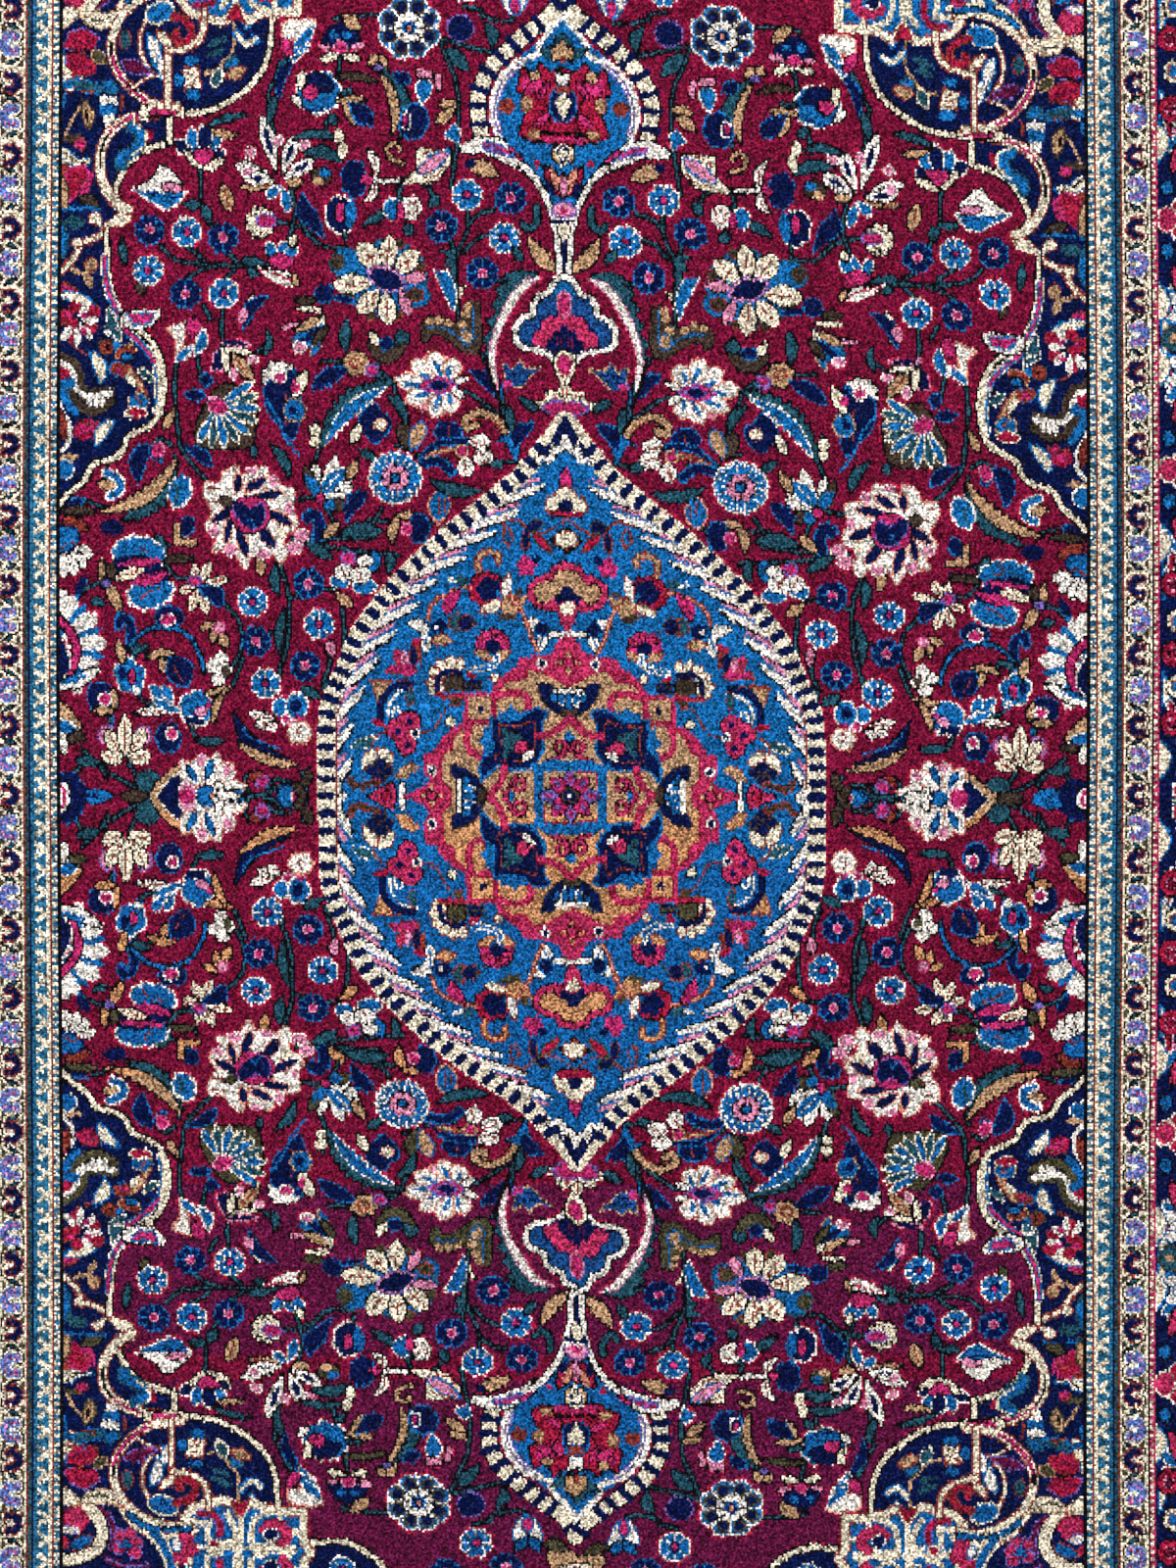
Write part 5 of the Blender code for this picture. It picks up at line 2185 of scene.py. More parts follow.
# stray fibres brighten the red knots beside pale yarn: most of the nearest, fewer of the next
dice = np.random.default_rng(5)
pale = np.isin(chart, [YARN_NUMBER[name] for name in ("cream", "ivory", "pink")])
red = np.isin(chart, (YARN_NUMBER["crimson"], YARN_NUMBER["maroon"]))
for glow, share in (("rose", 0.45), ("scarlet", 0.75), ("scarlet", 0.4)):
    wider = pale.copy()
    for shift, axis in ((1, 0), (-1, 0), (1, 1), (-1, 1)):
        wider |= np.roll(pale, shift, axis)
    lucky = dice.random(chart.shape) < share
    chart[wider & red & lucky] = YARN_NUMBER[glow]
    if glow == "scarlet":
        pale = wider
WANDERING = 0.13  # the share of the tips that lean over the next row, each way
wander = dice.choice((-1, 0, 1), size=chart.shape, p=(WANDERING, 1 - 2 * WANDERING, WANDERING))
tip_rows = np.clip(np.arange(ROWS)[:, None] + wander, 0, ROWS - 1)
woven = chart[tip_rows, np.arange(COLUMNS)]
print("knots that changed places:", int((woven != chart).sum()))

# %% [markdown]
# Each patch of knots of one yarn becomes one small rectangle of the mesh, because a million
# single knots would be too heavy. The single knots come back in the wool's material.


# %% Patches of one yarn
PATCH = 8  # the most knots a patch spans, so that it still follows the cloth's waves


def patches(knots, breaks_x=(), breaks_y=()):
    """Cuts a chart into rectangles of one yarn: first and last column and row, and yarn."""
    rows, columns = knots.shape
    grid = knots.tolist()
    taken = [[False] * columns for _ in range(rows)]
    found = []
    for r in range(rows):
        c = 0
        while c < columns:
            if taken[r][c]:
                c += 1
                continue
            yarn, right, top = grid[r][c], c + 1, r + 1
            while right < min(columns, c + PATCH) and right not in breaks_x:
                if grid[r][right] != yarn or taken[r][right]:
                    break
                right += 1
            while top < min(rows, r + PATCH) and top not in breaks_y:
                if grid[top][c:right] != [yarn] * (right - c) or any(taken[top][c:right]):
                    break
                top += 1
            for k in range(r, top):
                taken[k][c:right] = [True] * (right - c)
            found.append((c, r, right, top, yarn))
            c = right
    return np.array(found)


def linear(code):
    """A colour's six hex digits as the linear numbers that Blender works in."""
    parts = [int(code[k : k + 2], 16) / 255 for k in (0, 2, 4)]
    return [p / 12.92 if p <= 0.04045 else ((p + 0.055) / 1.055) ** 2.4 for p in parts]


DYES = np.array([[*linear(code), 1.0] for code in YARNS.values()])


def quads_piece(name, corners, dyes, knots, flat, material):
    """Makes a piece of loose quads: corner places, dye, knot numbers and flat layout of each."""
    count = len(corners)
    mesh = bpy.data.meshes.new(name)
    mesh.vertices.add(4 * count)
    mesh.loops.add(4 * count)
    mesh.polygons.add(count)
    mesh.vertices.foreach_set("co", corners.astype(np.float32).ravel())
    mesh.loops.foreach_set("vertex_index", np.arange(4 * count, dtype=np.int32))
    mesh.polygons.foreach_set("loop_start", np.arange(0, 4 * count, 4, dtype=np.int32))
    mesh.update(calc_edges=True)
    colour = mesh.color_attributes.new("dye", "FLOAT_COLOR", "POINT")
    colour.data.foreach_set("color", np.repeat(dyes, 4, axis=0).astype(np.float32).ravel())
    for layer, places in (("OFBake", flat), ("knots", knots)):
        uv = mesh.uv_layers.new(name=layer)
        uv.data.foreach_set("uv", places.astype(np.float32).ravel())
    mesh.materials.append(material)
    thing = bpy.data.objects.new(name, mesh)
    bpy.context.scene.collection.objects.link(thing)
    print(name, "has", count, "patches")
    return thing


def stands_for(piece, solid):
    """Attaches a piece to the root, and hides the solid that it gives its looks to."""
    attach(piece, "root")
    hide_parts(solid)


def four_corners(*pairs):
    """Stacks the corners of many quads, each corner given as its columns."""
    return np.stack([np.column_stack(pair) for pair in pairs], axis=1)


def corner_grid(found):
    """The four corners of each patch, in knots, anticlockwise from above."""
    left, low, right, top = found[:, :4].T
    return four_corners((left, low), (right, low), (right, top), (left, top)).astype(float)


# %% [markdown]
# ## Wool, cotton and their finish
# The pile is hand-spun sheep's wool, dyed with madder and indigo and clipped by hand. The
# eye sees cut yarn ends: a velvet of tufts, each a little lighter or darker than the next,
# with a soft sheen and no gloss. The warps and the kilim are undyed cotton, which is duller.


# %% A node and its links
def node(tree, kind, settings=None, **sockets):
    """Adds one node, with its settings, and a value or a link for each socket it names."""
    made = tree.nodes.new("ShaderNode" + kind)
    for key, value in (settings or {}).items():
        setattr(made, key, value)
    for key, value in sockets.items():
        socket = made.inputs[int(key[1:])] if key[1:].isdigit() else made.inputs[key.replace("_", " ")]
        if isinstance(value, bpy.types.NodeSocket):
            tree.links.new(value, socket)
        else:
            socket.default_value = value
    return made


def new_material(name):
    material = bpy.data.materials.new(name)
    material.use_nodes = True
    tree = material.node_tree
    return material, tree, tree.nodes["Principled BSDF"]


def fixed(shader, **values):
    """Sets the shader's sockets that are the same all over a surface."""
    for key, value in values.items():
        shader.inputs[key.replace("_", " ")].default_value = value


# %% The wool pile
TUFT_CONTRAST = 0.8
# yarn ends and partings: painted light and shade, lighter where the pile stands high and darker where it
# sinks
YARN_END_LIGHT_AND_SHADE = 1.9
PARTING_SHADE = 0.6
SKEIN_CONTRAST = 0.32
TUFT_DEPTH = 0.0009


def knotted_wool(name):
    """Cut wool pile. One tuft is one knot, 1.6 mm across, and its yarn ends are about 0.5 mm."""
    material, tree, shader = new_material(name)
    dye = node(tree, "VertexColor", {"layer_name": "dye"}).outputs["Color"]
    knots = node(tree, "UVMap", {"uv_map": "knots"}).outputs["UV"]
    place = node(tree, "TexCoord").outputs["Object"]
    # every tuft takes the dye a little differently
    number = node(tree, "VectorMath", {"operation": "FLOOR"}, i0=knots).outputs["Vector"]
    tuft = node(tree, "TexWhiteNoise", {"noise_dimensions": "2D"}, Vector=number).outputs["Value"]
    # yarn ends clump together in twos and threes, and the pile parts every few knots
    ends = node(tree, "TexNoise", Vector=place, Scale=480.0, Detail=2.0, Roughness=0.6)
    clumps = node(tree, "TexNoise", Vector=place, Scale=170.0, Detail=2.0, Roughness=0.6)
    # abrash: rows that were knotted from another skein
    stretched = node(tree, "VectorMath", {"operation": "MULTIPLY"}, i0=knots, i1=(0.004, 0.09, 1.0))
    skein = node(tree, "TexNoise", {"noise_dimensions": "2D"}, Vector=stretched.outputs[0], Scale=1.0,
                 Detail=3.0, Roughness=0.7)

    def share(value, contrast):
        """Spreads a value of 0 to 1 evenly about 1."""
        spread = node(tree, "MapRange", {"clamp": False}, Value=value, To_Min=1 - contrast,
                      To_Max=1 + contrast)
        return spread.outputs[0]

    light = share(tuft, TUFT_CONTRAST)
    # the ends and the partings are the noises that raise the bump below, so they paint the wool lighter
    # where it stands high and darker where it sinks and parts: painted highlight and painted shade
    for value, contrast in ((ends, YARN_END_LIGHT_AND_SHADE), (clumps, PARTING_SHADE), (skein, SKEIN_CONTRAST)):
        factor = share(value.outputs[0], contrast)
        light = node(tree, "Math", {"operation": "MULTIPLY"}, i0=light, i1=factor).outputs[0]
    light = node(tree, "Math", {"operation": "MAXIMUM"}, i0=light, i1=0.12).outputs[0]
    scaled = node(tree, "VectorMath", {"operation": "SCALE"}, i0=dye, Scale=light).outputs["Vector"]
    # painted highlight on the cut tips: paler and greyer where a tuft stands proud
    tip = node(tree, "MapRange", {"interpolation_type": "SMOOTHSTEP"}, Value=ends.outputs[0],
               From_Min=0.54, From_Max=0.72, To_Min=0.0, To_Max=0.08)
    pale = node(tree, "Mix", {"data_type": "RGBA", "blend_type": "SCREEN"}, i6=scaled,
                i7=(0.42, 0.33, 0.34, 1.0), Factor=tip.outputs[0])
    tree.links.new(pale.outputs["Result"], shader.inputs["Base Color"])
    # tufts stand up as small domes
    inside = node(tree, "VectorMath", {"operation": "FRACTION"}, i0=knots).outputs["Vector"]
    out = node(tree, "VectorMath", {"operation": "DISTANCE"}, i0=inside,
               i1=(0.5, 0.5, 0.0)).outputs["Value"]
    rough = node(tree, "MapRange", {"interpolation_type": "SMOOTHSTEP"}, Value=out, From_Min=0.75,
                 From_Max=0.1)
    for grain, height in ((clumps, 2.4), (ends, 0.9)):
        rough = node(tree, "Math", {"operation": "MULTIPLY_ADD"}, i0=grain.outputs[0], i1=height,
                     i2=rough.outputs[0])
    bump = node(tree, "Bump", Height=rough.outputs[0], Distance=TUFT_DEPTH, Strength=0.8)
    tree.links.new(bump.outputs[0], shader.inputs["Normal"])
    fixed(shader, Roughness=0.95, Sheen_Weight=0.05, Sheen_Roughness=0.45, Specular_IOR_Level=0.04)
    return material


pile_wool = knotted_wool("hand_knotted_wool_pile")

# %% [markdown]
# ## The pile
# The pile is made in six strips that lie side by side. It swells and sinks by a third of a
# millimetre, as a worn pile does, and its outermost knots lean outwards and down.

# %% The pile in strips
STRIPS = 6
FOLDS = 3  # a strip is laid flat in three lengths, side by side
COLUMNS_PER_STRIP = COLUMNS // STRIPS
FOLD_ROWS = ROWS / FOLDS
SWELL_ACROSS = 0.00018
SWELL_ALONG = 0.00015
FLUFF = 0.0002  # how far the tips stay under the solid's top
AT_THE_RIM = 0.0001


def pile_top(x, y):
    """The height of the pile's tips at a point of the loom's rectangle."""
    swell = SWELL_ACROSS * np.sin(31 * x + 2 * np.sin(9 * y))
    swell = swell + SWELL_ALONG * np.sin(23 * y + 3 * np.sin(7 * x))
    rim = (np.abs(x) > HALF_WIDTH - AT_THE_RIM) | (np.abs(y) > HALF_PILE_LENGTH - AT_THE_RIM)
    return PILE_HEIGHT + swell - np.where(rim, PILE_ROUNDING, FLUFF)


def knot_places(columns, rows):
    return (columns - COLUMNS / 2) * KNOT_X / 1000, (rows - ROWS / 2) * KNOT_Y / 1000


for n in range(STRIPS):
    first = n * COLUMNS_PER_STRIP
    inner = {0: {1}, STRIPS - 1: {COLUMNS_PER_STRIP - 1}}.get(n, set())
    folds = {round(FOLD_ROWS * k) for k in range(1, FOLDS)} | {1, ROWS - 1}
    found = patches(woven[:, first : first + COLUMNS_PER_STRIP], inner, folds)
    grid = corner_grid(found)
    fold = np.minimum((found[:, 1] + found[:, 3]) / 2 // FOLD_ROWS, FOLDS - 1)[:, None]
    flat_x = (grid[..., 1] - fold * FOLD_ROWS + 0.5) / (math.ceil(FOLD_ROWS) + 1)
    flat = np.stack((flat_x, (fold + grid[..., 0] / COLUMNS_PER_STRIP) / FOLDS), axis=-1)
    knots = grid + (first, 0)
    x, y = knot_places(knots[..., 0], knots[..., 1])
    z = pile_top(x, y)
    x, y = as_it_lies(x, y)
    places = np.stack((x, y, z), axis=-1)
    piece = quads_piece(f"pile_{n + 1}", places, DYES[found[:, 4]], knots, flat, pile_wool)
    stands_for(piece, "woven_cloth")

# %% [markdown]
# ## The back and the pile's cut edge
# Turned over, a hand-knotted rug shows its drawing again, in rows of small knot backs with
# the cotton wefts between them. It is drawn here with one patch for every two knots.

# %% The woven back
def woven_back_wool(name):
    """Knot backs: low ribs along the rows, dulled by the cotton between them."""
    material, tree, shader = new_material(name)
    dye = node(tree, "VertexColor", {"layer_name": "dye"}).outputs["Color"]
    knots = node(tree, "UVMap", {"uv_map": "knots"}).outputs["UV"]
    number = node(tree, "VectorMath", {"operation": "FLOOR"}, i0=knots).outputs["Vector"]
    tuft = node(tree, "TexWhiteNoise", {"noise_dimensions": "2D"}, Vector=number).outputs["Value"]
    inside = node(tree, "VectorMath", {"operation": "FRACTION"}, i0=knots).outputs["Vector"]
    split = node(tree, "SeparateXYZ", i0=inside)
    away = node(tree, "Math", {"operation": "SUBTRACT"}, i0=split.outputs[1], i1=0.5).outputs[0]
    away = node(tree, "Math", {"operation": "ABSOLUTE"}, i0=away).outputs[0]
    weft = node(tree, "MapRange", {"interpolation_type": "SMOOTHSTEP"}, Value=away,
                From_Min=0.3, From_Max=0.5, To_Min=0.0, To_Max=0.55)
    bright = node(tree, "MapRange", Value=tuft, To_Min=0.8, To_Max=1.2)
    wool = node(tree, "VectorMath", {"operation": "SCALE"}, i0=dye, Scale=bright.outputs[0])
    mixed = node(tree, "Mix", {"data_type": "RGBA"}, i6=wool.outputs[0], i7=(*linear("B9AC96"), 1.0),
                 Factor=weft.outputs[0])
    tree.links.new(mixed.outputs["Result"], shader.inputs["Base Color"])
    height = node(tree, "Math", {"operation": "SUBTRACT"}, i0=1.0, i1=away).outputs[0]
    bump = node(tree, "Bump", Height=height, Distance=0.0006, Strength=0.7)
    tree.links.new(bump.outputs[0], shader.inputs["Normal"])
    fixed(shader, Roughness=0.95, Specular_IOR_Level=0.1)
    return material


UNDERSIDE = 0.0002  # the height of the knot backs over the floor
found = patches(chart[::2, ::2], {COLUMNS // 4}, {ROWS // 4})
grid = corner_grid(found) * 2
x, y = knot_places(grid[..., 0], grid[..., 1])
x, y = as_it_lies(x, y)
under = np.stack((x, y, np.full(x.shape, UNDERSIDE)), axis=-1)[:, ::-1]
second_half = (found[:, 2] * 2 > COLUMNS / 2)[:, None] * 0.5
flat_y = second_half + grid[..., 0] % (COLUMNS / 2 + 0.01) / COLUMNS
flat = np.stack((grid[..., 1] / ROWS, flat_y), axis=-1)[:, ::-1]
back_wool = woven_back_wool("knot_backs_and_wefts")
back = quads_piece("woven_back", under, DYES[found[:, 4]], grid[:, ::-1], flat, back_wool)
stands_for(back, "woven_cloth")


# %% The pile's cut edge
def rim_points():
    """The pile's outline in knots, anticlockwise, with the yarn of each knot along it."""
    steps = []
    for c in range(COLUMNS):
        steps.append((c, 0, c + 1, 0, woven[0, c]))
    for r in range(ROWS):
        steps.append((COLUMNS, r, COLUMNS, r + 1, woven[r, -1]))
    for c in range(COLUMNS, 0, -1):
        steps.append((c, ROWS, c - 1, ROWS, woven[-1, c - 1]))
    for r in range(ROWS, 0, -1):
        steps.append((0, r, 0, r - 1, woven[r - 1, 0]))
    return np.array(steps)


RIM_ROWS = 24  # the wall is laid flat in so many rows
rim = rim_points()
x0, y0 = knot_places(rim[:, 0], rim[:, 1])
x1, y1 = knot_places(rim[:, 2], rim[:, 3])
top0, top1 = pile_top(x0, y0), pile_top(x1, y1)
(x0, y0), (x1, y1) = as_it_lies(x0, y0), as_it_lies(x1, y1)
bottom = np.full(len(rim), UNDERSIDE)
wall = four_corners((x0, y0, bottom), (x1, y1, bottom), (x1, y1, top1), (x0, y0, top0))
run = np.arange(len(rim), dtype=float)
in_a_row = math.ceil(len(rim) / RIM_ROWS)
u, v = run % in_a_row / in_a_row, run // in_a_row / RIM_ROWS
right, high = u + 0.9 / in_a_row, v + 0.03
flat = four_corners((u, v), (right, v), (right, high), (u, high))
low, pile_height_in_knots = run * 0, run * 0 + 4
knots = four_corners((run, low), (run + 1, low), (run + 1, pile_height_in_knots),
                     (run, pile_height_in_knots))
edge = quads_piece("pile_edge", wall, DYES[rim[:, 4]], knots, flat, pile_wool)
stands_for(edge, "woven_cloth")

# %% [markdown]
# ## Yarn that is twisted and wrapped
# Cords, threads and fringes are all tubes along a path. One helper joins tubes into a piece.
# Another makes the rings of a thread or a twined row: it takes a path, a width and a height at
# each step, and how many plies wind round each other.

# %% Twisted yarn
def tubes_piece(name, tubes, material):
    """Joins tubes into one mesh. A tube is a grid of rings, each ring a loop of points."""
    points, faces = [], []
    for rings in tubes:
        numbers = len(points) + np.arange(rings.shape[0] * rings.shape[1]).reshape(rings.shape[:2])
        low, high = numbers[:-1], numbers[1:]
        walls = np.stack((low, np.roll(low, -1, 1), np.roll(high, -1, 1), high), axis=-1)
        faces += walls.reshape(-1, 4).tolist() + [numbers[0, ::-1].tolist(), numbers[-1].tolist()]
        points += rings.reshape(-1, 3).tolist()
    mesh = bpy.data.meshes.new(name)
    mesh.from_pydata(points, [], faces)
    mesh.materials.append(material)
    mesh.shade_smooth()
    thing = bpy.data.objects.new(name, mesh)
    bpy.context.scene.collection.objects.link(thing)
    print(name, "has", len(mesh.polygons), "faces")
    return thing


def tube(path, across, up, width, height, sides, plies=0, lay=1.0, ridge=0.0):
    """Rings round a path. Plies wind round it once in each lay, and stand proud by ridge."""
    path = np.asarray(path, float)
    along = np.concatenate(([0], np.cumsum(np.linalg.norm(np.diff(path, axis=0), axis=1))))[:, None]
    angle = np.linspace(0, 2 * math.pi, sides, endpoint=False)[None, :]
    wound = 2 * math.pi * along / lay
    swell = 1 - ridge * np.abs(np.sin(plies * (angle - wound) / 2))
    reach_across = np.asarray(width, float).reshape(-1, 1) / 2 * np.cos(angle) * swell
    reach_up = np.asarray(height, float).reshape(-1, 1) / 2 * np.sin(angle) * swell
    return path[:, None, :] + reach_across[..., None] * across + reach_up[..., None] * up


ACROSS, ALONG, UP = np.eye(3)


def spun_fibre(name, code, variation, thread, lay, direction, sheen=0.1):
    """Spun yarn of one colour: fine twisted fibre, uneven dye, and painted shade in the dips of the fibre.
    """
    material, tree, shader = new_material(name)
    place = node(tree, "TexCoord").outputs["Object"]
    drawn = node(tree, "Mapping", Vector=place, Scale=direction).outputs[0]
    fibre = node(tree, "TexNoise", Vector=drawn, Scale=1 / thread, Detail=2.0, Roughness=0.6).outputs[0]
    uneven = node(tree, "TexNoise", Vector=place, Scale=1 / lay, Detail=2.0).outputs[0]
    # the fibre noise that bumps the surface also darkens its dips: painted shade
    both = node(tree, "Math", {"operation": "MULTIPLY_ADD"}, i0=fibre, i1=0.6, i2=uneven).outputs[0]
    light = node(tree, "MapRange", Value=both, From_Min=0.45, From_Max=1.15, To_Min=1 - variation,
                 To_Max=1 + variation)
    mixed = node(tree, "VectorMath", {"operation": "SCALE"}, i0=linear(code), Scale=light.outputs[0])
    tree.links.new(mixed.outputs["Vector"], shader.inputs["Base Color"])
    bump = node(tree, "Bump", Height=fibre, Distance=thread / 2, Strength=0.6)
    tree.links.new(bump.outputs[0], shader.inputs["Normal"])
    fixed(shader, Roughness=0.9, Sheen_Weight=sheen, Sheen_Roughness=0.5, Specular_IOR_Level=0.15)
    return material


# %% [markdown]
# ## The side cords
# Along each side the outermost warps are overcast with crimson wool. Each turn of the wool
# is about three millimetres wide and leans a little.

# %% Overcast side cords
CORD_WIDTH = 0.0075
CORD_HEIGHT = 0.0072
CORD_STEPS = 2455
CORD_SIDES = 10
WRAP = 0.0032
WRAP_FOOT = 0.93  # the cord's width between two turns of the wool, as a share
WRAP_CREST = 0.07
CLEARANCE = 0.0001  # between the floor and what lies on it
cord_wool = spun_fibre("overcast_wool", "5A1024", 0.35, 0.0006, 0.02, direction=(1.0, 3.0, 1.0))
for name, side in (("side_cord_left", -1), ("side_cord_right", 1)):
    y = np.linspace(-HALF_PILE_LENGTH, HALF_PILE_LENGTH, CORD_STEPS)
    edge_x, flat_y = as_it_lies(side * HALF_WIDTH + 0 * y, y)
    middle_x = edge_x + side * (NEIGHBOUR_GAP + CORD_WIDTH / 2)
    path = np.column_stack((middle_x, flat_y, np.full(len(y), CORD_HEIGHT / 2 + CLEARANCE)))
    angle = np.linspace(0, 2 * math.pi, CORD_SIDES, endpoint=False)[None, :]
    turn = y[:, None] / WRAP + angle / (2 * math.pi)
    swell = WRAP_FOOT + WRAP_CREST * np.abs(np.sin(math.pi * turn)) ** 0.7
    rings = path[:, None, :] + (CORD_WIDTH / 2 * np.cos(angle) * swell)[..., None] * ACROSS
    rings += (CORD_HEIGHT / 2 * np.sin(angle) * swell)[..., None] * UP
    cord = tubes_piece(name + "_wraps", [rings[:, ::-1]], cord_wool)
    stands_for(cord, name)

# %% [markdown]
# ## The kilim ends
# Past the last row of knots the weaver beats in a centimetre or two of plain cotton weave,
# so that the knots can't slip off. It is a thin ribbed band, with the warps under the wefts.

# %% Kilim ends
def kilim_cotton(name):
    """Plain weave with the wefts packed down: ribs over the warps, 3.2 mm apart."""
    material, tree, shader = new_material(name)
    knots = node(tree, "UVMap", {"uv_map": "knots"}).outputs["UV"]
    split = node(tree, "SeparateXYZ", i0=knots)
    place = node(tree, "TexCoord").outputs["Object"]
    rib = node(tree, "Math", {"operation": "MULTIPLY"}, i0=split.outputs[0], i1=math.pi).outputs[0]
    rib = node(tree, "Math", {"operation": "SINE"}, i0=rib).outputs[0]
    pick = node(tree, "Math", {"operation": "MULTIPLY"}, i0=split.outputs[1], i1=math.pi * 1.4).outputs[0]
    pick = node(tree, "Math", {"operation": "SINE"}, i0=pick).outputs[0]
    weave = node(tree, "Math", {"operation": "MULTIPLY"}, i0=rib, i1=pick).outputs[0]
    fluff = node(tree, "TexNoise", Vector=place, Scale=700.0, Detail=2.0).outputs[0]
    height = node(tree, "Math", {"operation": "MULTIPLY_ADD"}, i0=fluff, i1=0.8, i2=weave).outputs[0]
    # the colour follows the bump's height: painted shade in the dips of the weave, painted light on the
    # ribs
    tint = node(tree, "MapRange", Value=height, From_Min=-0.8, From_Max=1.6).outputs[0]
    dips, ribs = (*linear("8F8064"), 1.0), (*linear("E2D7BE"), 1.0)
    mixed = node(tree, "Mix", {"data_type": "RGBA"}, i6=dips, i7=ribs, Factor=tint)
    tree.links.new(mixed.outputs["Result"], shader.inputs["Base Color"])
    bump = node(tree, "Bump", Height=height, Distance=0.0005, Strength=0.8)
    tree.links.new(bump.outputs[0], shader.inputs["Normal"])
    fixed(shader, Roughness=0.9)
    return material


RIB = 0.0016
PICK = 0.0011
KILIM_STEPS = 205
# the band's section, from the last knots round to them again: a share of its length, and a height
KILIM_SECTION = (
    (0.0, UNDERSIDE), (0.0, KILIM_HEIGHT), (0.3, KILIM_HEIGHT - 0.0003), (0.6, KILIM_HEIGHT),
    (0.97, KILIM_HEIGHT - 0.0002), (1.0, KILIM_HEIGHT - 0.0008), (1.0, UNDERSIDE), (0.0, UNDERSIDE),
)
# laid flat, the band is cut into lengths of 30 ribs, with a little room round each
RIBS_TO_MIDDLE = 409
RIBS_IN_A_LENGTH = 30
RIBS_OF_ROOM = 34
PICKS_OF_ROOM = 44
LENGTHS = 28


def squares(points):
    """The four corners of every square of a grid of points."""
    corners = (points[:-1, :-1], points[:-1, 1:], points[1:, 1:], points[1:, :-1])
    return np.stack(corners, axis=2).reshape(-1, 4, points.shape[-1])


kilim_weave = kilim_cotton("plain_weave_cotton")
for name, end in (("kilim_near", -1), ("kilim_far", 1)):
    x = np.linspace(-HALF_WIDTH, HALF_WIDTH, KILIM_STEPS)
    rows = []
    for share, height in KILIM_SECTION:
        flat_x, flat_y = as_it_lies(x, end * (HALF_PILE_LENGTH + share * KILIM_LENGTH) + 0 * x)
        rows.append(np.column_stack((flat_x, flat_y, np.full(len(x), height))))
    corners = squares(np.array(rows))
    steps = np.diff(np.array(KILIM_SECTION) * (KILIM_LENGTH, 1), axis=0)
    along = np.concatenate(([0], np.cumsum(np.hypot(*steps.T))))
    knots = squares(np.stack(np.meshgrid(x / RIB, along / PICK), axis=-1))
    from_left = knots[..., 0] + RIBS_TO_MIDDLE
    length = np.floor((knots[:, :, 0].min(axis=1) + RIBS_TO_MIDDLE) / RIBS_IN_A_LENGTH)[:, None]
    flat_x = (from_left - length * RIBS_IN_A_LENGTH) / RIBS_OF_ROOM
    flat = np.stack((flat_x, (length + knots[..., 1] / PICKS_OF_ROOM) / LENGTHS), axis=-1)
    if end < 0:  # so that every face looks outwards
        corners, knots, flat = corners[:, ::-1], knots[:, ::-1], flat[:, ::-1]
    piece = quads_piece(name, corners, np.ones((len(corners), 4)), knots, flat, kilim_weave)
    stands_for(piece, "woven_cloth")

# %% [markdown]
# ## The fringes
# The fringe is the warps themselves: cotton threads cut loose from the loom. A narrow twined
# row locks them, and each strand is a handful of plied threads that spread and lie as they fell.

# %% Fringes
STRANDS_PER_END = 100
STRIP_WIDTH = 0.0050
STRIP_HEIGHT = 0.0034
STRIP_STEPS = 1307
STRIP_SIDES = 10
STRAND_ROOT_SHARE = 0.46
STRAND_LENGTH = 0.055
STRAND_LENGTH_SPREAD = 0.008
STRAND_LEAN = 0.0042
STRAND_TIP_WIDTH = 0.0024
THREADS = 6
THREAD_WIDTH = 0.0011
THREAD_STEPS = 9
THREAD_SIDES = 5
THREAD_WAVE = 0.0003
THREAD_SHORTER = 0.005
THREAD_LIFT = 0.0012
THREAD_RIPPLE = 0.0006
TUCKED_IN = 0.2  # how much of the twined row's width a strand starts under
fringe_cotton = spun_fibre("plied_warp_cotton", "CFC3A6", 0.28, 0.0004, 0.03, direction=(3.0, 1.0, 1.0),
                           sheen=0.05)
HALF_STRAY = abs(END_WAVE * math.sin(2 * math.pi * END_WAVES_ACROSS * 0.25 + END_WAVE_START))


def strand_threads(root_x, root_y, end, length, lean, sway, dice):
    """The threads of one strand: side by side at the root, bunched and crossed at the tip."""
    share = np.linspace(0, 1, THREAD_STEPS)
    root = STRAND_ROOT_SHARE * 2 * HALF_WIDTH / STRANDS_PER_END
    x = root_x + lean * share**2 + sway * np.sin(math.pi * share)
    half = (root * (1 - share) + STRAND_TIP_WIDTH * share) / 2 - THREAD_WIDTH / 2
    threads = []
    for k in range(THREADS):
        offset = 2 * k / (THREADS - 1) - 1
        drift = dice.uniform(-0.5, 0.5)
        wave = THREAD_WAVE * np.sin(share * dice.uniform(5, 9) + dice.uniform(0, 6))
        own_x = x + half * (offset + drift * share) + wave
        own_y = root_y + end * share * (length - dice.uniform(0, THREAD_SHORTER) * (k != 0))
        ripple = THREAD_RIPPLE * np.abs(np.sin(share * dice.uniform(3, 6)))
        lift = THREAD_LIFT * (1 - share) * (k % 2) + ripple
        own_z = THREAD_WIDTH / 2 + CLEARANCE + lift * (1 - share**3)
        path = np.column_stack((own_x, own_y, own_z))
        thin = THREAD_WIDTH * np.where(share > 0.97, 0.6, 1.0)
        rings = tube(path, ACROSS, UP, thin, thin, THREAD_SIDES)
        threads.append(rings if end < 0 else rings[:, ::-1])
    return threads


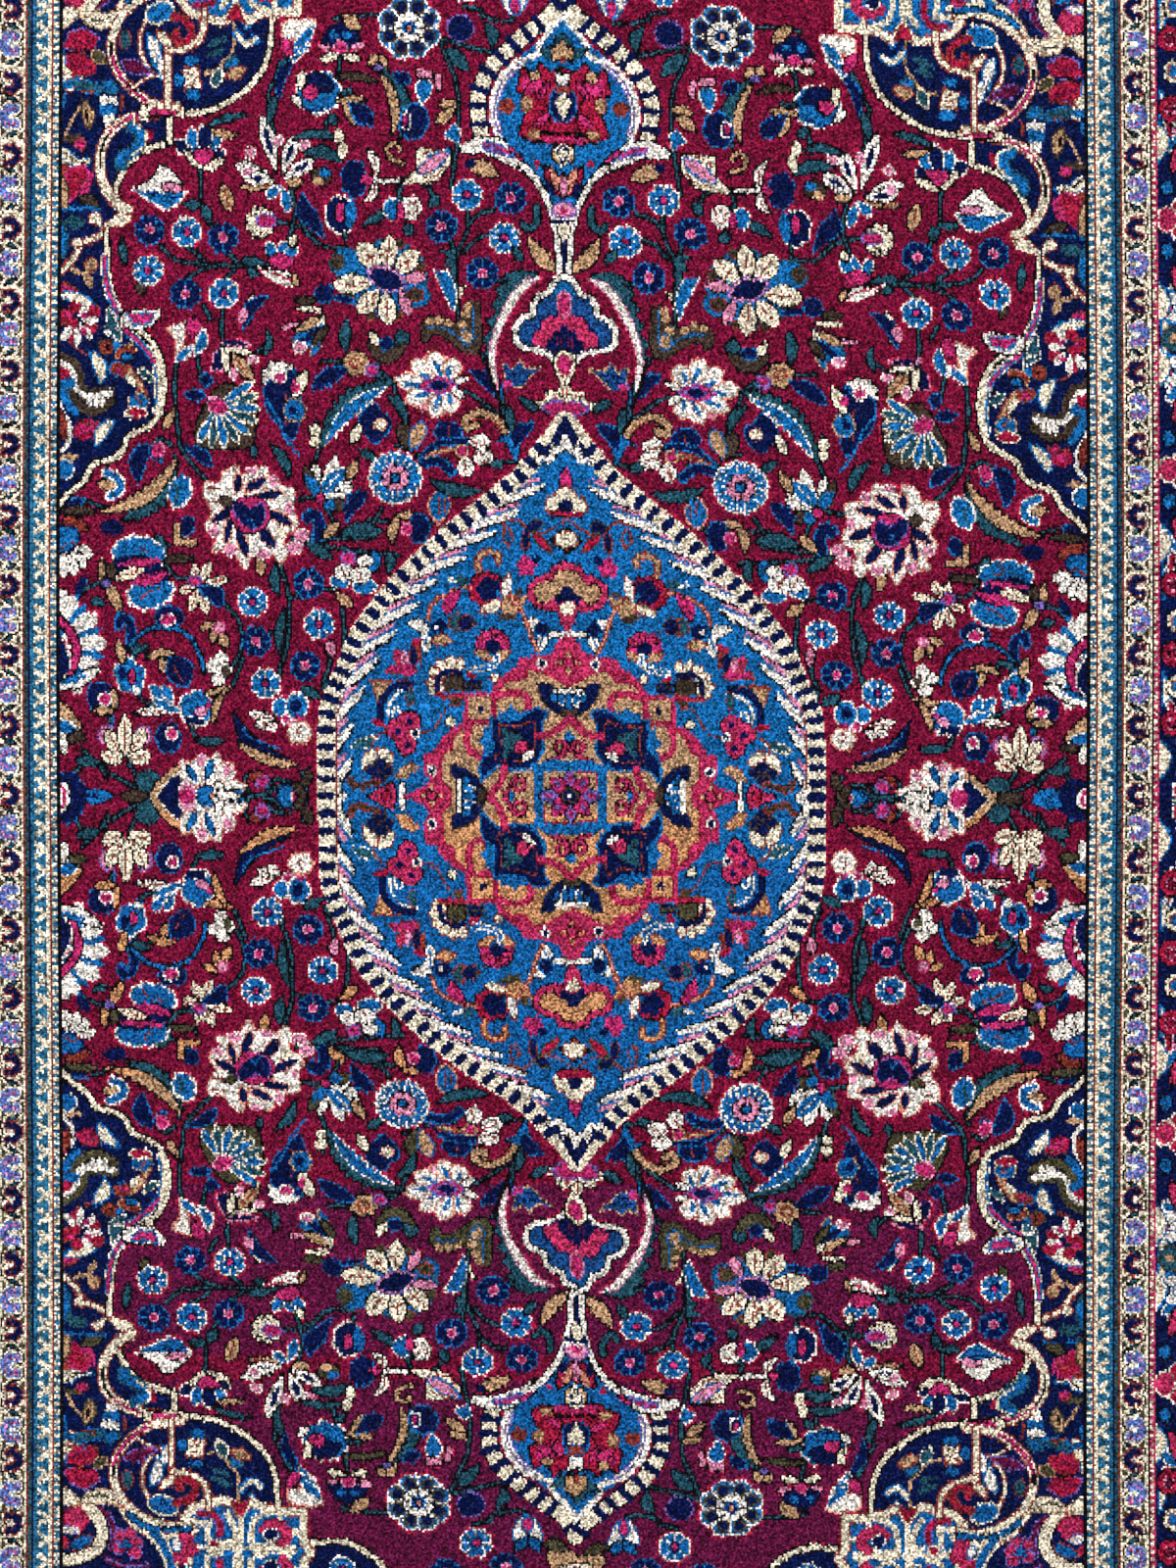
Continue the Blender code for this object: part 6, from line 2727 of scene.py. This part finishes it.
for name, end, seed in (("fringe_near", -1, 11), ("fringe_far", 1, 23)):
    strand_dice, thread_dice = random.Random(seed), random.Random(seed + 1)
    pitch = 2 * HALF_WIDTH / STRANDS_PER_END
    x = np.linspace(-HALF_WIDTH, HALF_WIDTH, STRIP_STEPS)
    flat_x, flat_y = as_it_lies(x, end * (HALF_CLOTH_LENGTH + NEIGHBOUR_GAP) + 0 * x)
    height = np.full(len(x), STRIP_HEIGHT / 2 + CLEARANCE)
    path = np.column_stack((flat_x, flat_y + end * STRIP_WIDTH / 2, height))
    tubes = [tube(path, ALONG, UP, STRIP_WIDTH, STRIP_HEIGHT, STRIP_SIDES, plies=2, lay=0.0065, ridge=0.22)]
    for n in range(STRANDS_PER_END):
        root_x, edge_y = as_it_lies(-HALF_WIDTH + (n + 0.5) * pitch,
                                    end * (HALF_CLOTH_LENGTH + NEIGHBOUR_GAP))
        full = n == STRANDS_PER_END // 2
        spread = 0.0 if full else strand_dice.uniform(0, STRAND_LENGTH_SPREAD)
        length = STRAND_LENGTH - spread - HALF_STRAY * (not full)
        lean = strand_dice.uniform(-STRAND_LEAN, STRAND_LEAN)
        sway = strand_dice.uniform(-STRAND_LEAN, STRAND_LEAN) / 2
        root_y = edge_y + end * STRIP_WIDTH * (1 - TUCKED_IN)
        length += STRIP_WIDTH * TUCKED_IN
        tubes += strand_threads(root_x, root_y, end, length, lean, sway, thread_dice)
    piece = tubes_piece(name + "_threads", tubes, fringe_cotton)
    stands_for(piece, name)

# %% [markdown]
# ## Floor, light and camera
# The photograph was taken from straight above with a long lens, in soft light. One broad
# lamp from the far left brings out the tufts, and a weak one fills the shadows.

# %% Floor
bpy.ops.mesh.primitive_plane_add(size=12, location=(0, 0, 0))
floor = bpy.context.object
floor.name = "floor"
floor_paint, tree, shader = new_material("pale_floor_paint")
fixed(shader, Base_Color=(*linear("D8D4CC"), 1.0), Roughness=0.7)
floor.data.materials.append(floor_paint)


# %% Light
def soft_lamp(name, place, size, watts):
    """A square soft lamp that points at the middle of the rug."""
    lamp = bpy.data.lights.new(name, "AREA")
    lamp.size = size
    lamp.energy = watts
    thing = bpy.data.objects.new(name, lamp)
    bpy.context.scene.collection.objects.link(thing)
    thing.location = place
    direction = -thing.location
    thing.rotation_euler = direction.to_track_quat("-Z", "Y").to_euler()
    return thing


soft_lamp("window", place=(-1.6, 2.4, 3.0), size=1.6, watts=95)
soft_lamp("room", place=(2.6, -1.8, 3.2), size=2.4, watts=30)
world = bpy.data.worlds.new("soft_room")
bpy.context.scene.world = world
world.use_nodes = True
fixed(world.node_tree.nodes["Background"], Color=(0.94, 0.97, 1.0, 1.0), Strength=0.62)
bpy.context.scene.view_settings.view_transform = "Standard"

# %% Camera
PHOTO_MIDDLE = (0.0126, 0.0101)  # where the photograph's centre falls on the rug
PHOTO_LENGTH = 1.344  # how much of the rug its long side takes in
LENS = 85.0
camera = bpy.data.cameras.new("from_above")
camera.lens = LENS
eye = bpy.data.objects.new("from_above", camera)
bpy.context.scene.collection.objects.link(eye)
eye.location = (*PHOTO_MIDDLE, PILE_HEIGHT + PHOTO_LENGTH * LENS / camera.sensor_width)
bpy.context.scene.camera = eye
print("camera height:", round(eye.location.z, 3))
